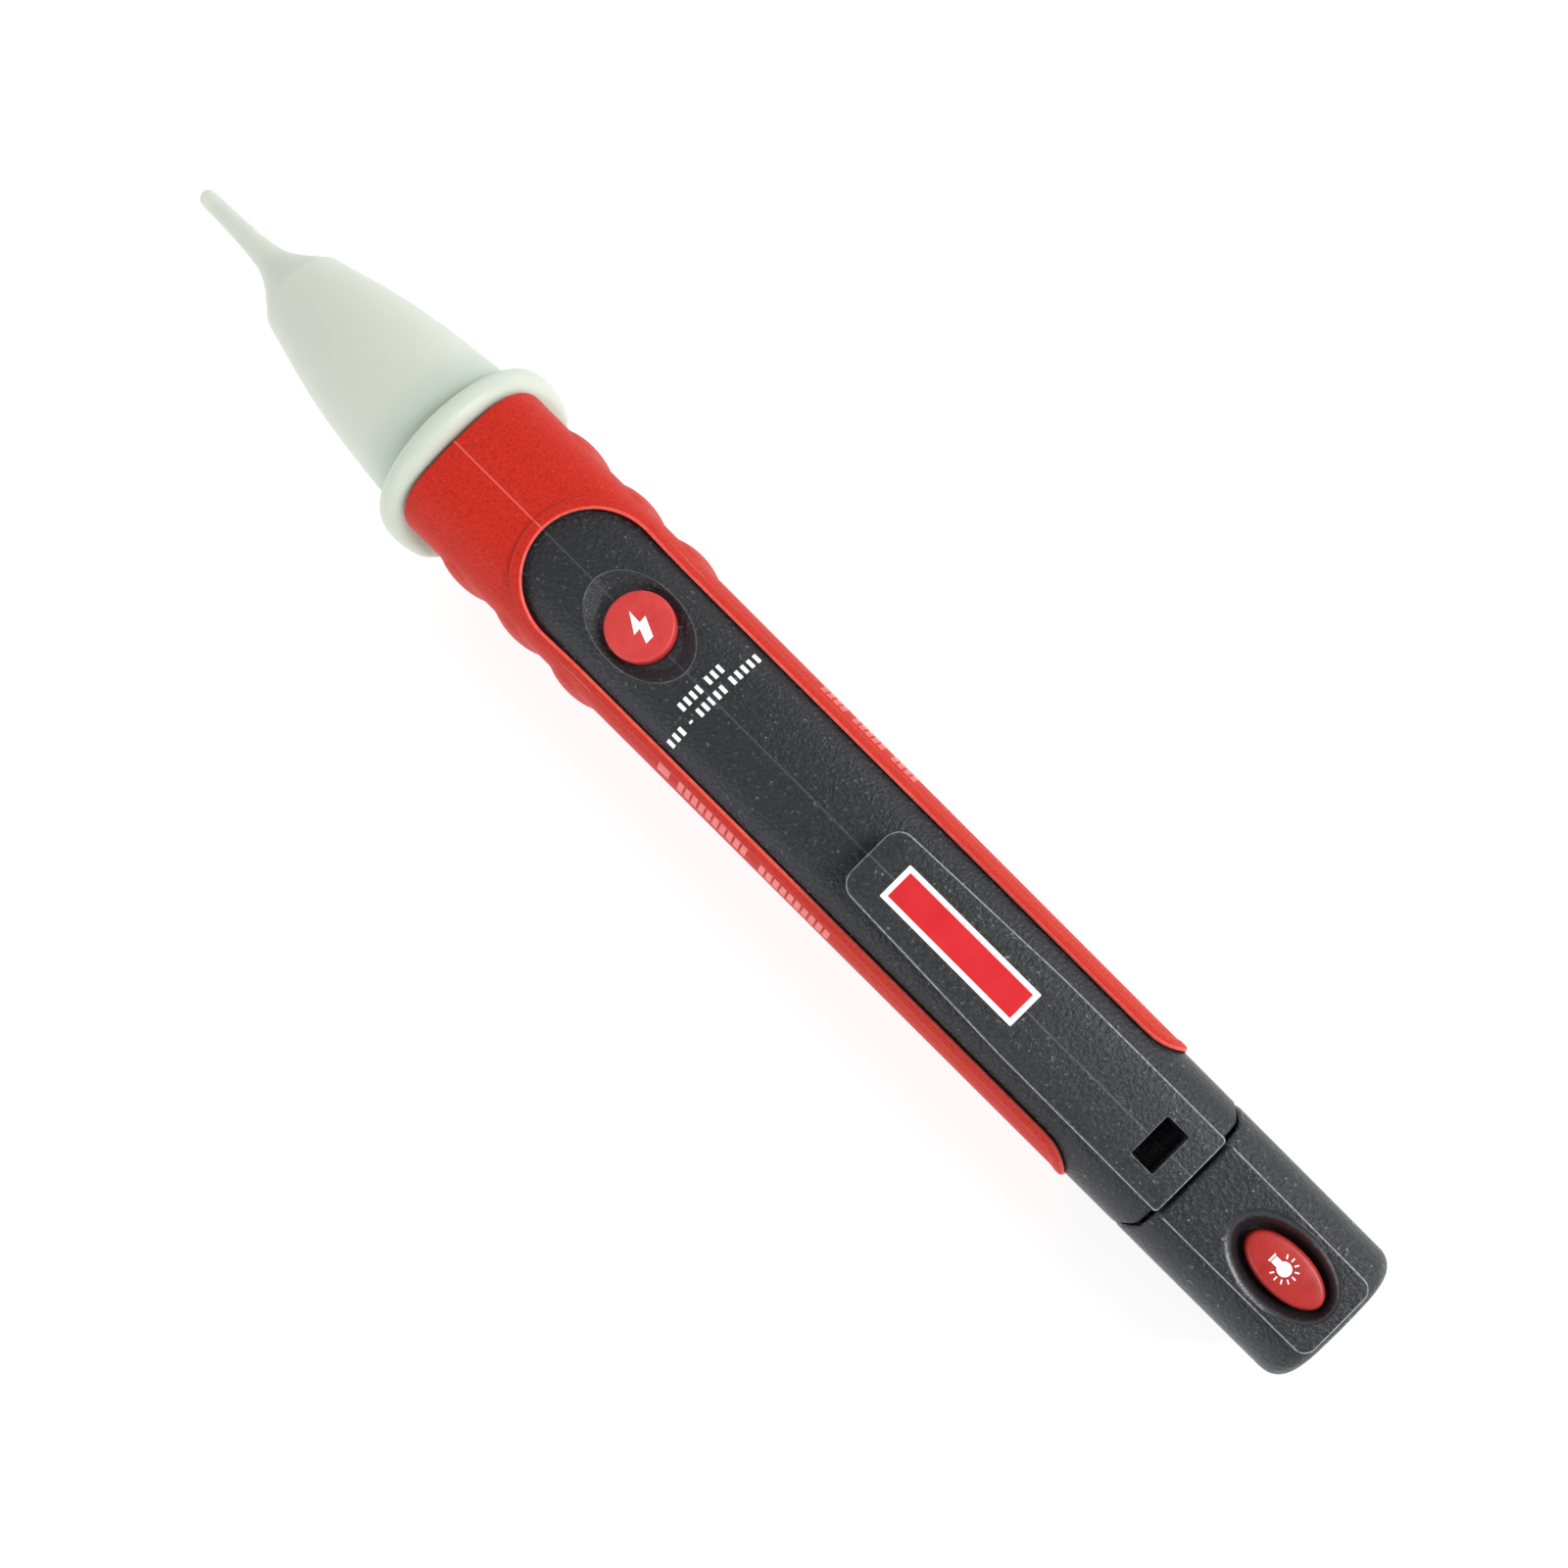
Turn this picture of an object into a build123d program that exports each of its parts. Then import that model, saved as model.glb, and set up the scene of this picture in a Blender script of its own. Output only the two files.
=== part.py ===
"""Non contact voltage tester: a pen-shaped tester with a battery drawer and a rear flashlight.

Frame: millimetres. +X points out of the sensing tip, +Z out of the clip side.
The origin is under the middle of the tester, on the surface that it lies on.
"""

import math
import os

from build123d import *

os.makedirs("parts", exist_ok=True)

# Overall form
TIP_STATION = 88.0
AXIS_HEIGHT = 11.2
HALF_WIDTH_AT_MIDDLE = 9.69
HALF_WIDTH_TAPER = 0.0086
CROWN_HEIGHT_AT_MIDDLE = 21.65
CROWN_TAPER = 0.006
CROWN_DROP = 1.6
CROWN_EDGE = 0.5
BELLY_EDGE = 0.7
BELLY_TRIM = 0.05
CROWN_CORNER = 6.0
BELLY_CORNER = 5.5

# Stations along the handle
GRIP_FRONT = 40.2
GRIP_REAR = -58.3
BARREL_FRONT = 40.0
BARREL_REAR = -66.7
CAP_FRONT = -67.05
CAP_REAR = -87.4

# Wall build-up, measured inwards from the outer skin of the overmould
SKIN_INSET = 0.45
CORE_INSET = 1.15
CAVITY_HALF_WIDTH = 6.75
CAVITY_BOTTOM = 2.75
CAVITY_TOP = 19.4
CAVITY_CORNER = 3.0

# Nose and collar
COLLAR_RADIUS = 12.2
COLLAR_REAR = 40.5
COLLAR_FRONT = 44.1
COLLAR_ROUNDING = 1.4
NOSE_BASE_RADIUS = 9.75
SHOULDER_STATION = 70.6
SHOULDER_RADIUS = 5.15
NECK_STATION = 79.0
NECK_RADIUS = 1.5
TIP_RADIUS = 1.1
SPIGOT_REAR = 35.5
SPIGOT_RADIUS = 7.45
SPIGOT_BORE = 6.2
SPIGOT_CLEARANCE = 0.15
CONE_MIDDLE = (57.5, 8.3)
BORE_MOUTH = 42.0
BORE_STEPS = ((44.5, 8.0), (57.5, 6.8), (69.5, 3.6))
ANTENNA_BORE_REAR = 74.5
ANTENNA_BORE_FRONT = 85.5
ANTENNA_BORE = 0.5
ANTENNA_RADIUS = 0.35
ANTENNA_BEND = 1.2
ANTENNA_REAR = 32.0
ANTENNA_FRONT = 84.5

# Finger bumps on the overmould
BUMP_STATIONS = (32.3, 23.5, 14.8)
BUMP_HEIGHT = 0.65
BUMP_HALF_AXES = (4.66, 3.0, 8.66)

# Top panel
PANEL_FRONT = 26.6
PANEL_HALF_WIDTH_FRONT = 7.6
PANEL_HALF_WIDTH_REAR = 7.2
STRIP_END_ROUNDING = 3.2

# Range button
BUTTON_STATION = 11.75
BUTTON_RADIUS = 3.85
BUTTON_TOP = 21.9
BUTTON_EDGE = 0.5
BUTTON_CLEARANCE = 0.12
FLANGE_TOP = 19.3
FLANGE_BOTTOM = 18.5
FLANGE_OVERLAP = 0.75
PRESSER_RADIUS = 1.6
DISH_HALF_LENGTH = 6.95
DISH_HALF_WIDTH = 4.85
DISH_FLOOR = 20.5

# Pocket clip
CLIP_TIP = -22.3
CLIP_REAR = -66.7
CLIP_WAIST = -45.0
CLIP_HALF_WIDTH_TIP = 4.3
CLIP_HALF_WIDTH_ROOT = 4.95
CLIP_TIP_CORNER = 2.0
CLIP_CREST_STATION = -40.0
CLIP_TOP_TIP = 25.2
CLIP_TOP_CREST = 25.9
CLIP_TOP_ROOT = 24.3
CLIP_UNDERSIDE = 23.3
CLIP_ROOT_FRONT = -56.0
CLIP_BEAD_BOTTOM = 22.0
CLIP_BEAD_NOSE = 1.0
CLIP_BEAD_LENGTH = 3.0
CLIP_BEAD_RAMP = 4.6
CLIP_SEAT_INSET = 0.3
WINDOW_FRONT = -61.0
WINDOW_REAR = -63.7
WINDOW_HALF_WIDTH = 2.55
WINDOW_CLEARANCE = 0.1

# Rear cap and flashlight button
PAD_TOP = 24.2
PAD_REAR = -86.1
PAD_CORNER = 1.2
PAD_HALF_WIDTH_FRONT = 4.9
PAD_HALF_WIDTH_REAR = 4.7
CAP_CAVITY_TOP = 19.6
CAP_END_WALL = 2.0
CAP_END_ROUNDING = 1.8
POCKET_TOP = 21.5
POCKET_HALF_WIDTH = 3.9
LIGHT_BUTTON_STATION = -79.0
LIGHT_BUTTON_HALF_LENGTH = 4.85
LIGHT_BUTTON_HALF_WIDTH = 2.6
LIGHT_BUTTON_TOP = 23.7
LIGHT_BUTTON_EDGE = 0.4
LIGHT_FLANGE_TOP = 21.3
LIGHT_FLANGE_BOTTOM = 20.4
LIGHT_PRESSER_RADIUS = 1.5
WELL_FLOOR = 22.9
WELL_SHIFT = 0.5
WELL_HALF_LENGTH = 5.85
WELL_HALF_WIDTH = 3.8
LENS_RADIUS = 3.15
LENS_SEAT_DEPTH = 1.6
LENS_RECESS = 0.3
LED_HOLE_RADIUS = 2.7

# Latch tongue
LATCH_PIVOT_STATION = -71.0
LATCH_PIVOT_HEIGHT = 18.0
LATCH_PIN_RADIUS = 0.6
LATCH_PIN_CLEARANCE = 0.05
LATCH_PIN_HALF_LENGTH = 3.4
LATCH_HALF_WIDTH = 2.2
LATCH_ARM = (17.6, 18.4)
LATCH_HOOK_TOP = 19.2
LATCH_HOOK_FRONT = 18.7
EAR = (2.5, 3.5)
EAR_HALF_LENGTH = 1.0

# Circuit boards
BOARD_THICKNESS = 1.0
MAIN_BOARD_BOTTOM = 14.6
MAIN_BOARD_REAR = -3.0
MAIN_BOARD_FRONT = 34.5
MAIN_BOARD_HALF_WIDTH = 6.4
MAIN_BOARD_TOP = MAIN_BOARD_BOTTOM + BOARD_THICKNESS
MAIN_BOARD_CORNER = 0.8
LIGHT_BOARD_BOTTOM = 16.0
LIGHT_BOARD_TOP = LIGHT_BOARD_BOTTOM + BOARD_THICKNESS
LIGHT_BOARD_HALF_WIDTH = 5.6
LEDGE_THICKNESS = 1.0
LEDGE_OVERLAP = 0.65

# Tactile switches
RANGE_SWITCH_TOP = 17.2
RANGE_SWITCH_HALF_SIZE = 3.0
RANGE_PLUNGER_BOTTOM = 16.8
RANGE_PLUNGER_TOP = 18.2
RANGE_PLUNGER_RADIUS = 1.7
LIGHT_SWITCH_TOP = 18.6
LIGHT_SWITCH_HALF_WIDTH = 2.25
LIGHT_PLUNGER_BOTTOM = 18.2
LIGHT_PLUNGER_TOP = 19.6
LIGHT_PLUNGER_RADIUS = 1.2
PLUNGER_CLEARANCE = 0.15
SWITCH_FLOOR = 0.4

# Chip, surface-mounted parts and buzzer
CHIP = (1.0, 6.0)
CHIP_HALF_WIDTH = 1.95
CHIP_LIFT = 0.1
CHIP_HEIGHT = 1.5
CHIP_PINS = 4
CHIP_PIN_PITCH = 1.27
CHIP_PIN_FIRST = 1.6
CHIP_PIN_HALF_WIDTH = 0.2
CHIP_PIN_REACH = 3.0
CHIP_PIN_HEIGHT = 0.3
SMALL_PART_COLUMNS = (-1.5, 17.5, 19.5)
SMALL_PART_ROWS = (-4.4, -2.2, 0, 2.2, 4.4)
SMALL_PART_HALF_LENGTH = 0.5
SMALL_PART_HALF_WIDTH = 0.8
SMALL_PART_HEIGHT = 0.5
BUZZER_STATION = 26.5
BUZZER_RADIUS = 4.5
BUZZER_TOP = 19.0
BUZZER_HOLE_RADIUS = 0.9
BUZZER_HOLE_DEPTH = 1.0

# Indicator LEDs in the nose, and the flashlight LED
INDICATOR_OFFSET = 3.0
INDICATOR_HEIGHT = 13.0
INDICATOR_FLANGE = (35.2, 36.0)
INDICATOR_FLANGE_RADIUS = 1.65
INDICATOR_DOME = 38.7
INDICATOR_RADIUS = 1.5
INDICATOR_LEG_REAR = 33.0
INDICATOR_LEG_OFFSET = 0.6
INDICATOR_LEG_HALF = 0.2
LIGHT_LED_LEGS = (-80.2, -79.7)
LIGHT_LED_FLANGE = (-81.2, -80.2)
LIGHT_LED_FLANGE_RADIUS = 2.9
LIGHT_LED_DOME = -83.4
LIGHT_LED_RADIUS = 2.5
LIGHT_LED_DOME_RADIUS = 2.3
LIGHT_LED_LEG_OFFSET = 1.27
LIGHT_LED_LEG_HALF = 0.25

# Batteries: two AAA cells in line
CELL_RADIUS = 5.25
CELL_EDGE = 0.4
CELL_CLEARANCE = 0.2
CELL_BODY_LENGTH = 43.5
CELL_NUB_RADIUS = 1.9
CELL_NUB_LENGTH = 1.0
CELL_HEIGHT = 9.0
REAR_CELL_BACK = -76.4
FRONT_CELL_BACK = REAR_CELL_BACK + CELL_BODY_LENGTH + CELL_NUB_LENGTH
NUB_FRONT = FRONT_CELL_BACK + CELL_BODY_LENGTH + CELL_NUB_LENGTH
TRAY_HALF_WIDTH = 6.35
TRAY_BOTTOM = 2.95
TRAY_TOP = 11.0
TRAY_REAR_WALL = -79.4
TRAY_FRONT = 13.4
TRAY_CORNER = 2.8
TRAY_END_THICKNESS = 1.0
TRAY_ARM_THICKNESS = 0.85
TRAY_ARM_BOTTOM = 6.0
BULKHEAD_REAR = 17.6
BULKHEAD_FRONT = 18.6
BULKHEAD_TOP = 13.55
CONTACT_THICKNESS = 0.25
SPRING_RADIUS = 2.2
SPRING_WIRE_RADIUS = 0.28
SPRING_TURNS = 1.75

PEN_AXIS = Axis((0, 0, AXIS_HEIGHT), (1, 0, 0))


def half_width(x):
    """Half the width of the outer skin at station x."""
    return HALF_WIDTH_AT_MIDDLE + HALF_WIDTH_TAPER * x


def crown_height(x):
    """Height of the outer skin's crown at station x."""
    return CROWN_HEIGHT_AT_MIDDLE + CROWN_TAPER * x


def handle_section(x, inset):
    """The handle's rounded section at station x: crowned top, bulged sides and a flat belly."""
    width = half_width(x) - inset
    crown = crown_height(x) - inset
    shoulder = (width - CROWN_EDGE, crown - CROWN_DROP)
    belly = (width - BELLY_EDGE, inset - BELLY_TRIM)
    with BuildSketch(Plane.YZ.offset(x)) as section:
        with BuildLine():
            ThreePointArc((-shoulder[0], shoulder[1]), (0, crown), shoulder)
            ThreePointArc(shoulder, (width, AXIS_HEIGHT), belly)
            Line(belly, (-belly[0], belly[1]))
            ThreePointArc((-belly[0], belly[1]), (-width, AXIS_HEIGHT), (-shoulder[0], shoulder[1]))
        make_face()
        fillet(section.vertices().group_by(Axis.Y)[-1], CROWN_CORNER - inset)
        fillet(section.vertices().group_by(Axis.Y)[0], BELLY_CORNER - inset)
    return section.sketch


def handle_span(x_rear, x_front, inset, mode=Mode.ADD):
    """A stretch of the handle's form, inset from its outer skin."""
    loft(sections=(handle_section(x_rear, inset), handle_section(x_front, inset)), ruled=True, mode=mode)


def block(x_range, y_range, z_range, mode=Mode.ADD):
    """A box between two stations along each axis."""
    spans = (x_range, y_range, z_range)
    with Locations(tuple((low + high) / 2 for low, high in spans)):
        Box(*(high - low for low, high in spans), mode=mode)


def on_side(side, y_range):
    """A range of breadths on the +Y side, or its mirror image for side -1."""
    return y_range if side > 0 else (-y_range[1], -y_range[0])


def rod(x_start, x_end, radius, y=0.0, z=AXIS_HEIGHT, mode=Mode.ADD):
    """A round bar along X."""
    with BuildSketch(Plane.YZ.offset(x_start)) as end:
        with Locations((y, z)):
            Circle(radius)
    extrude(end.sketch, amount=x_end - x_start, mode=mode)


def post(x, z_low, z_high, radius, mode=Mode.ADD):
    """A round post along Z on the middle plane."""
    with BuildSketch(Plane.XY.offset(z_low)) as foot:
        with Locations((x, 0)):
            Circle(radius)
    extrude(foot.sketch, amount=z_high - z_low, mode=mode)


def oval_post(x, z_low, z_high, half_length, half_width_across, mode=Mode.ADD):
    """An upright post with an elliptical section on the middle plane."""
    with BuildSketch(Plane.XY.offset(z_low)) as foot:
        with Locations((x, 0)):
            Ellipse(half_length, half_width_across)
    extrude(foot.sketch, amount=z_high - z_low, mode=mode)


def cavity(x_rear, x_front, half_width_inside, z_low, z_high, mode=Mode.SUBTRACT):
    """A round-cornered hollow along X."""
    with BuildSketch(Plane.YZ.offset(x_rear)) as mouth:
        with Locations((0, (z_low + z_high) / 2)):
            RectangleRounded(2 * half_width_inside, z_high - z_low, CAVITY_CORNER)
    extrude(mouth.sketch, amount=x_front - x_rear, mode=mode)


def leaf(points, y_range):
    """A bent strip contact: one thin strip along the points of its side view."""
    with BuildSketch(Plane.XZ.offset(-y_range[0])) as strip:
        with BuildLine():
            Polyline(*points)
        trace(line_width=CONTACT_THICKNESS)
    extrude(strip.sketch, amount=-(y_range[1] - y_range[0]))


def finish(piece, name):
    """Label a finished piece and write it."""
    piece.label = name
    export_step(piece, f"parts/{name}.step")


# Nose, collar and spigot: one hollow translucent moulding turned about the pen axis
with BuildPart() as sensor_tip:
    with BuildSketch(Plane.XZ):
        with BuildLine():
            tip_centre = TIP_STATION - TIP_RADIUS
            slant = TIP_RADIUS * math.sqrt(0.5)
            tip_arc = ThreePointArc(
                (TIP_STATION, AXIS_HEIGHT),
                (tip_centre + slant, AXIS_HEIGHT + slant),
                (tip_centre, AXIS_HEIGHT + TIP_RADIUS),
            )
            neck = Line(tip_arc @ 1, (NECK_STATION, AXIS_HEIGHT + NECK_RADIUS))
            flare = Spline(
                neck @ 1,
                (SHOULDER_STATION, AXIS_HEIGHT + SHOULDER_RADIUS),
                tangents=((-1, 0.05), (-1, 0.68)),
                tangent_scalars=(1.1, 0.8),
            )
            cone = ThreePointArc(
                flare @ 1,
                (CONE_MIDDLE[0], AXIS_HEIGHT + CONE_MIDDLE[1]),
                (COLLAR_FRONT, AXIS_HEIGHT + NOSE_BASE_RADIUS),
            )
            Polyline(
                cone @ 1,
                (COLLAR_FRONT, AXIS_HEIGHT + COLLAR_RADIUS),
                (COLLAR_REAR, AXIS_HEIGHT + COLLAR_RADIUS),
                (COLLAR_REAR, AXIS_HEIGHT + SPIGOT_RADIUS),
                (SPIGOT_REAR, AXIS_HEIGHT + SPIGOT_RADIUS),
                (SPIGOT_REAR, AXIS_HEIGHT + SPIGOT_BORE),
                (BORE_MOUTH, AXIS_HEIGHT + SPIGOT_BORE),
                *((x, AXIS_HEIGHT + radius) for x, radius in BORE_STEPS),
                (ANTENNA_BORE_REAR, AXIS_HEIGHT + ANTENNA_BORE),
                (ANTENNA_BORE_FRONT, AXIS_HEIGHT + ANTENNA_BORE),
                (ANTENNA_BORE_FRONT, AXIS_HEIGHT),
                tip_arc @ 0,
            )
        make_face()
    revolve(axis=PEN_AXIS)
    rim = sensor_tip.edges().filter_by(GeomType.CIRCLE).filter_by(lambda e: e.radius > COLLAR_RADIUS - 0.01)
    fillet(rim, COLLAR_ROUNDING)
    block((COLLAR_REAR - 1, COLLAR_FRONT + 1), (-COLLAR_RADIUS, COLLAR_RADIUS), (-3, 0), Mode.SUBTRACT)
finish(sensor_tip.part, "sensor_tip")

# The zone where the barrel shows through the overmould: the top panel and all of the rear section
with BuildPart() as exposed_zone:
    with BuildSketch(Plane.XY.offset(AXIS_HEIGHT)):
        with BuildLine():
            front_centre = PANEL_FRONT - PANEL_HALF_WIDTH_FRONT
            strip_end = GRIP_REAR + STRIP_END_ROUNDING
            outer_side = PANEL_HALF_WIDTH_REAR + STRIP_END_ROUNDING
            ThreePointArc(
                (front_centre, -PANEL_HALF_WIDTH_FRONT),
                (PANEL_FRONT, 0),
                (front_centre, PANEL_HALF_WIDTH_FRONT),
            )
            for side in (1, -1):
                Line((front_centre, side * PANEL_HALF_WIDTH_FRONT), (strip_end, side * PANEL_HALF_WIDTH_REAR))
                RadiusArc(
                    (strip_end, side * PANEL_HALF_WIDTH_REAR),
                    (GRIP_REAR, side * outer_side),
                    side * STRIP_END_ROUNDING,
                )
            Line((GRIP_REAR, outer_side), (GRIP_REAR, -outer_side))
        make_face()
    extrude(amount=COLLAR_RADIUS)
    block((BARREL_REAR - 1, GRIP_REAR), (-COLLAR_RADIUS, COLLAR_RADIUS), (-1, 25))

# Soft overmould with three finger bumps on each side
bump_form = scale(Sphere(1), by=BUMP_HALF_AXES)

with BuildPart() as grip_overmould:
    handle_span(GRIP_REAR, GRIP_FRONT, 0)
    bump_places = [
        (x, side * (half_width(x) + BUMP_HEIGHT - BUMP_HALF_AXES[1]), AXIS_HEIGHT)
        for x in BUMP_STATIONS
        for side in (1, -1)
    ]
    with Locations(*bump_places):
        add(bump_form)
    handle_span(GRIP_REAR - 1, GRIP_FRONT + 1, CORE_INSET, Mode.SUBTRACT)
    add(exposed_zone.part, mode=Mode.SUBTRACT)
    block((GRIP_REAR - 1, GRIP_FRONT + 1), (-COLLAR_RADIUS, COLLAR_RADIUS), (-3, 0), Mode.SUBTRACT)
finish(grip_overmould.part, "grip_overmould")

# Hard barrel: core under the overmould, exposed skin, battery bay and spigot bore
with BuildPart() as barrel:
    handle_span(BARREL_REAR, BARREL_FRONT, SKIN_INSET)
    add(exposed_zone.part, mode=Mode.INTERSECT)
    handle_span(BARREL_REAR, BARREL_FRONT, CORE_INSET)
    cavity(BARREL_REAR - 1, SPIGOT_REAR, CAVITY_HALF_WIDTH, CAVITY_BOTTOM, CAVITY_TOP)
    rod(SPIGOT_REAR - 1, BARREL_FRONT + 1, SPIGOT_RADIUS + SPIGOT_CLEARANCE, mode=Mode.SUBTRACT)
    for side in (1, -1):
        block(
            (MAIN_BOARD_REAR, MAIN_BOARD_FRONT - 2),
            on_side(side, (MAIN_BOARD_HALF_WIDTH - LEDGE_OVERLAP, CAVITY_HALF_WIDTH + 0.3)),
            (MAIN_BOARD_BOTTOM - LEDGE_THICKNESS, MAIN_BOARD_BOTTOM),
        )
    oval_post(BUTTON_STATION, DISH_FLOOR, 23, DISH_HALF_LENGTH, DISH_HALF_WIDTH, Mode.SUBTRACT)
    post(BUTTON_STATION, CAVITY_TOP - 1, 23, BUTTON_RADIUS + BUTTON_CLEARANCE, Mode.SUBTRACT)
    block(
        (WINDOW_REAR - 5 * WINDOW_CLEARANCE, WINDOW_FRONT + 4 * WINDOW_CLEARANCE),
        (-WINDOW_HALF_WIDTH - WINDOW_CLEARANCE, WINDOW_HALF_WIDTH + WINDOW_CLEARANCE),
        (CAVITY_TOP - 1, 23),
        Mode.SUBTRACT,
    )
finish(barrel.part, "barrel")

# Pocket clip: side view and plan view crossed, seated on the barrel's crown
with BuildPart() as pocket_clip:
    with BuildSketch(Plane.XZ):
        with BuildLine():
            back = ThreePointArc(
                (CLIP_REAR, CLIP_TOP_ROOT), (CLIP_CREST_STATION, CLIP_TOP_CREST), (CLIP_TIP, CLIP_TOP_TIP)
            )
            Polyline(
                back @ 1,
                (CLIP_TIP, CLIP_BEAD_BOTTOM + 0.6 * CLIP_BEAD_NOSE),
                (CLIP_TIP - CLIP_BEAD_NOSE, CLIP_BEAD_BOTTOM),
                (CLIP_TIP - CLIP_BEAD_LENGTH, CLIP_BEAD_BOTTOM),
                (CLIP_TIP - CLIP_BEAD_RAMP, CLIP_UNDERSIDE),
                (CLIP_ROOT_FRONT, CLIP_UNDERSIDE),
                (CLIP_ROOT_FRONT, CAVITY_TOP - 1),
                (CLIP_REAR, CAVITY_TOP - 1),
                back @ 0,
            )
        make_face()
    extrude(amount=CLIP_HALF_WIDTH_ROOT + 1, both=True)
    with BuildSketch(Plane.XY.offset(17)) as clip_plan:
        with BuildLine():
            Polyline(
                (CLIP_REAR, -CLIP_HALF_WIDTH_ROOT),
                (CLIP_WAIST, -CLIP_HALF_WIDTH_ROOT),
                (CLIP_TIP, -CLIP_HALF_WIDTH_TIP),
                (CLIP_TIP, CLIP_HALF_WIDTH_TIP),
                (CLIP_WAIST, CLIP_HALF_WIDTH_ROOT),
                (CLIP_REAR, CLIP_HALF_WIDTH_ROOT),
                close=True,
            )
        make_face()
        fillet(clip_plan.vertices().group_by(Axis.X)[-1], CLIP_TIP_CORNER)
    extrude(amount=12, mode=Mode.INTERSECT)
    handle_span(CLIP_REAR - 1, CLIP_ROOT_FRONT + 1, CLIP_SEAT_INSET, Mode.SUBTRACT)
    block(
        (WINDOW_REAR, WINDOW_FRONT), (-WINDOW_HALF_WIDTH, WINDOW_HALF_WIDTH), (17, 27), Mode.SUBTRACT
    )
finish(pocket_clip.part, "pocket_clip")

# Rear cap with its raised pad, button well and lens seat
with BuildPart() as rear_cap:
    handle_span(CAP_REAR, CAP_FRONT, SKIN_INSET)
    fillet(rear_cap.faces().sort_by(Axis.X)[0].edges(), CAP_END_ROUNDING)
    with BuildSketch(Plane.XY.offset(AXIS_HEIGHT + 4)) as pad_plan:
        with BuildLine():
            Polyline(
                (CAP_FRONT, -PAD_HALF_WIDTH_FRONT),
                (PAD_REAR, -PAD_HALF_WIDTH_REAR),
                (PAD_REAR, PAD_HALF_WIDTH_REAR),
                (CAP_FRONT, PAD_HALF_WIDTH_FRONT),
                close=True,
            )
        make_face()
        fillet(pad_plan.vertices().group_by(Axis.X)[0], PAD_CORNER)
    extrude(amount=PAD_TOP - AXIS_HEIGHT - 4)
    cavity(CAP_REAR + CAP_END_WALL, CAP_FRONT + 1, CAVITY_HALF_WIDTH, CAVITY_BOTTOM, CAP_CAVITY_TOP)
    block(
        (CAP_REAR + CAP_END_WALL + 0.6, CAP_FRONT - 1.5),
        (-POCKET_HALF_WIDTH, POCKET_HALF_WIDTH),
        (CAP_CAVITY_TOP - 1, POCKET_TOP),
        Mode.SUBTRACT,
    )
    with BuildSketch(Plane.XY.offset(WELL_FLOOR)) as well_floor:
        with Locations((LIGHT_BUTTON_STATION, 0)):
            Ellipse(LIGHT_BUTTON_HALF_LENGTH + 0.35, LIGHT_BUTTON_HALF_WIDTH + 0.45)
    with BuildSketch(Plane.XY.offset(PAD_TOP)) as well_mouth:
        with Locations((LIGHT_BUTTON_STATION + WELL_SHIFT, 0)):
            Ellipse(WELL_HALF_LENGTH, WELL_HALF_WIDTH)
    loft(sections=(well_floor.sketch, well_mouth.sketch), ruled=True, mode=Mode.SUBTRACT)
    oval_post(
        LIGHT_BUTTON_STATION,
        POCKET_TOP - 1,
        PAD_TOP,
        LIGHT_BUTTON_HALF_LENGTH + BUTTON_CLEARANCE,
        LIGHT_BUTTON_HALF_WIDTH + BUTTON_CLEARANCE,
        Mode.SUBTRACT,
    )
    rod(CAP_REAR - 1, CAP_REAR + LENS_SEAT_DEPTH, LENS_RADIUS + 0.05, mode=Mode.SUBTRACT)
    rod(CAP_REAR - 1, CAP_REAR + CAP_END_WALL + 1, LED_HOLE_RADIUS, mode=Mode.SUBTRACT)
    for side in (1, -1):
        block(
            (CAP_REAR + CAP_END_WALL, CAP_FRONT - 2),
            on_side(side, (LIGHT_BOARD_HALF_WIDTH - LEDGE_OVERLAP, CAVITY_HALF_WIDTH + 0.3)),
            (LIGHT_BOARD_BOTTOM - LEDGE_THICKNESS, LIGHT_BOARD_BOTTOM),
        )
        block(
            (LATCH_PIVOT_STATION - EAR_HALF_LENGTH, LATCH_PIVOT_STATION + EAR_HALF_LENGTH),
            on_side(side, EAR),
            (LIGHT_BOARD_TOP + 0.05, POCKET_TOP + 0.3),
        )
    with BuildSketch(Plane.XZ):
        with Locations((LATCH_PIVOT_STATION, LATCH_PIVOT_HEIGHT)):
            Circle(LATCH_PIN_RADIUS + LATCH_PIN_CLEARANCE)
    extrude(amount=EAR[1] + 0.1, both=True, mode=Mode.SUBTRACT)
finish(rear_cap.part, "rear_cap")

# Latch tongue: arm, hook and pivot pin, at the height where the drawer is free to slide
with BuildPart() as latch_tongue:
    block(
        (LATCH_PIVOT_STATION - 0.9, WINDOW_FRONT + 0.2), (-LATCH_HALF_WIDTH, LATCH_HALF_WIDTH), LATCH_ARM
    )
    with BuildSketch(Plane.XZ):
        with BuildLine():
            Polyline(
                (WINDOW_REAR + 0.1, LATCH_ARM[1] - 0.1),
                (WINDOW_REAR + 0.1, LATCH_HOOK_TOP),
                (WINDOW_REAR + 0.9, LATCH_HOOK_TOP),
                (WINDOW_FRONT - 0.4, LATCH_HOOK_FRONT),
                (WINDOW_FRONT - 0.4, LATCH_ARM[1] - 0.1),
                close=True,
            )
        make_face()
    extrude(amount=LATCH_HALF_WIDTH, both=True)
    with BuildSketch(Plane.XZ):
        with Locations((LATCH_PIVOT_STATION, LATCH_PIVOT_HEIGHT)):
            Circle(LATCH_PIN_RADIUS)
    extrude(amount=LATCH_PIN_HALF_LENGTH, both=True)
finish(latch_tongue.part, "latch_tongue")

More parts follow.
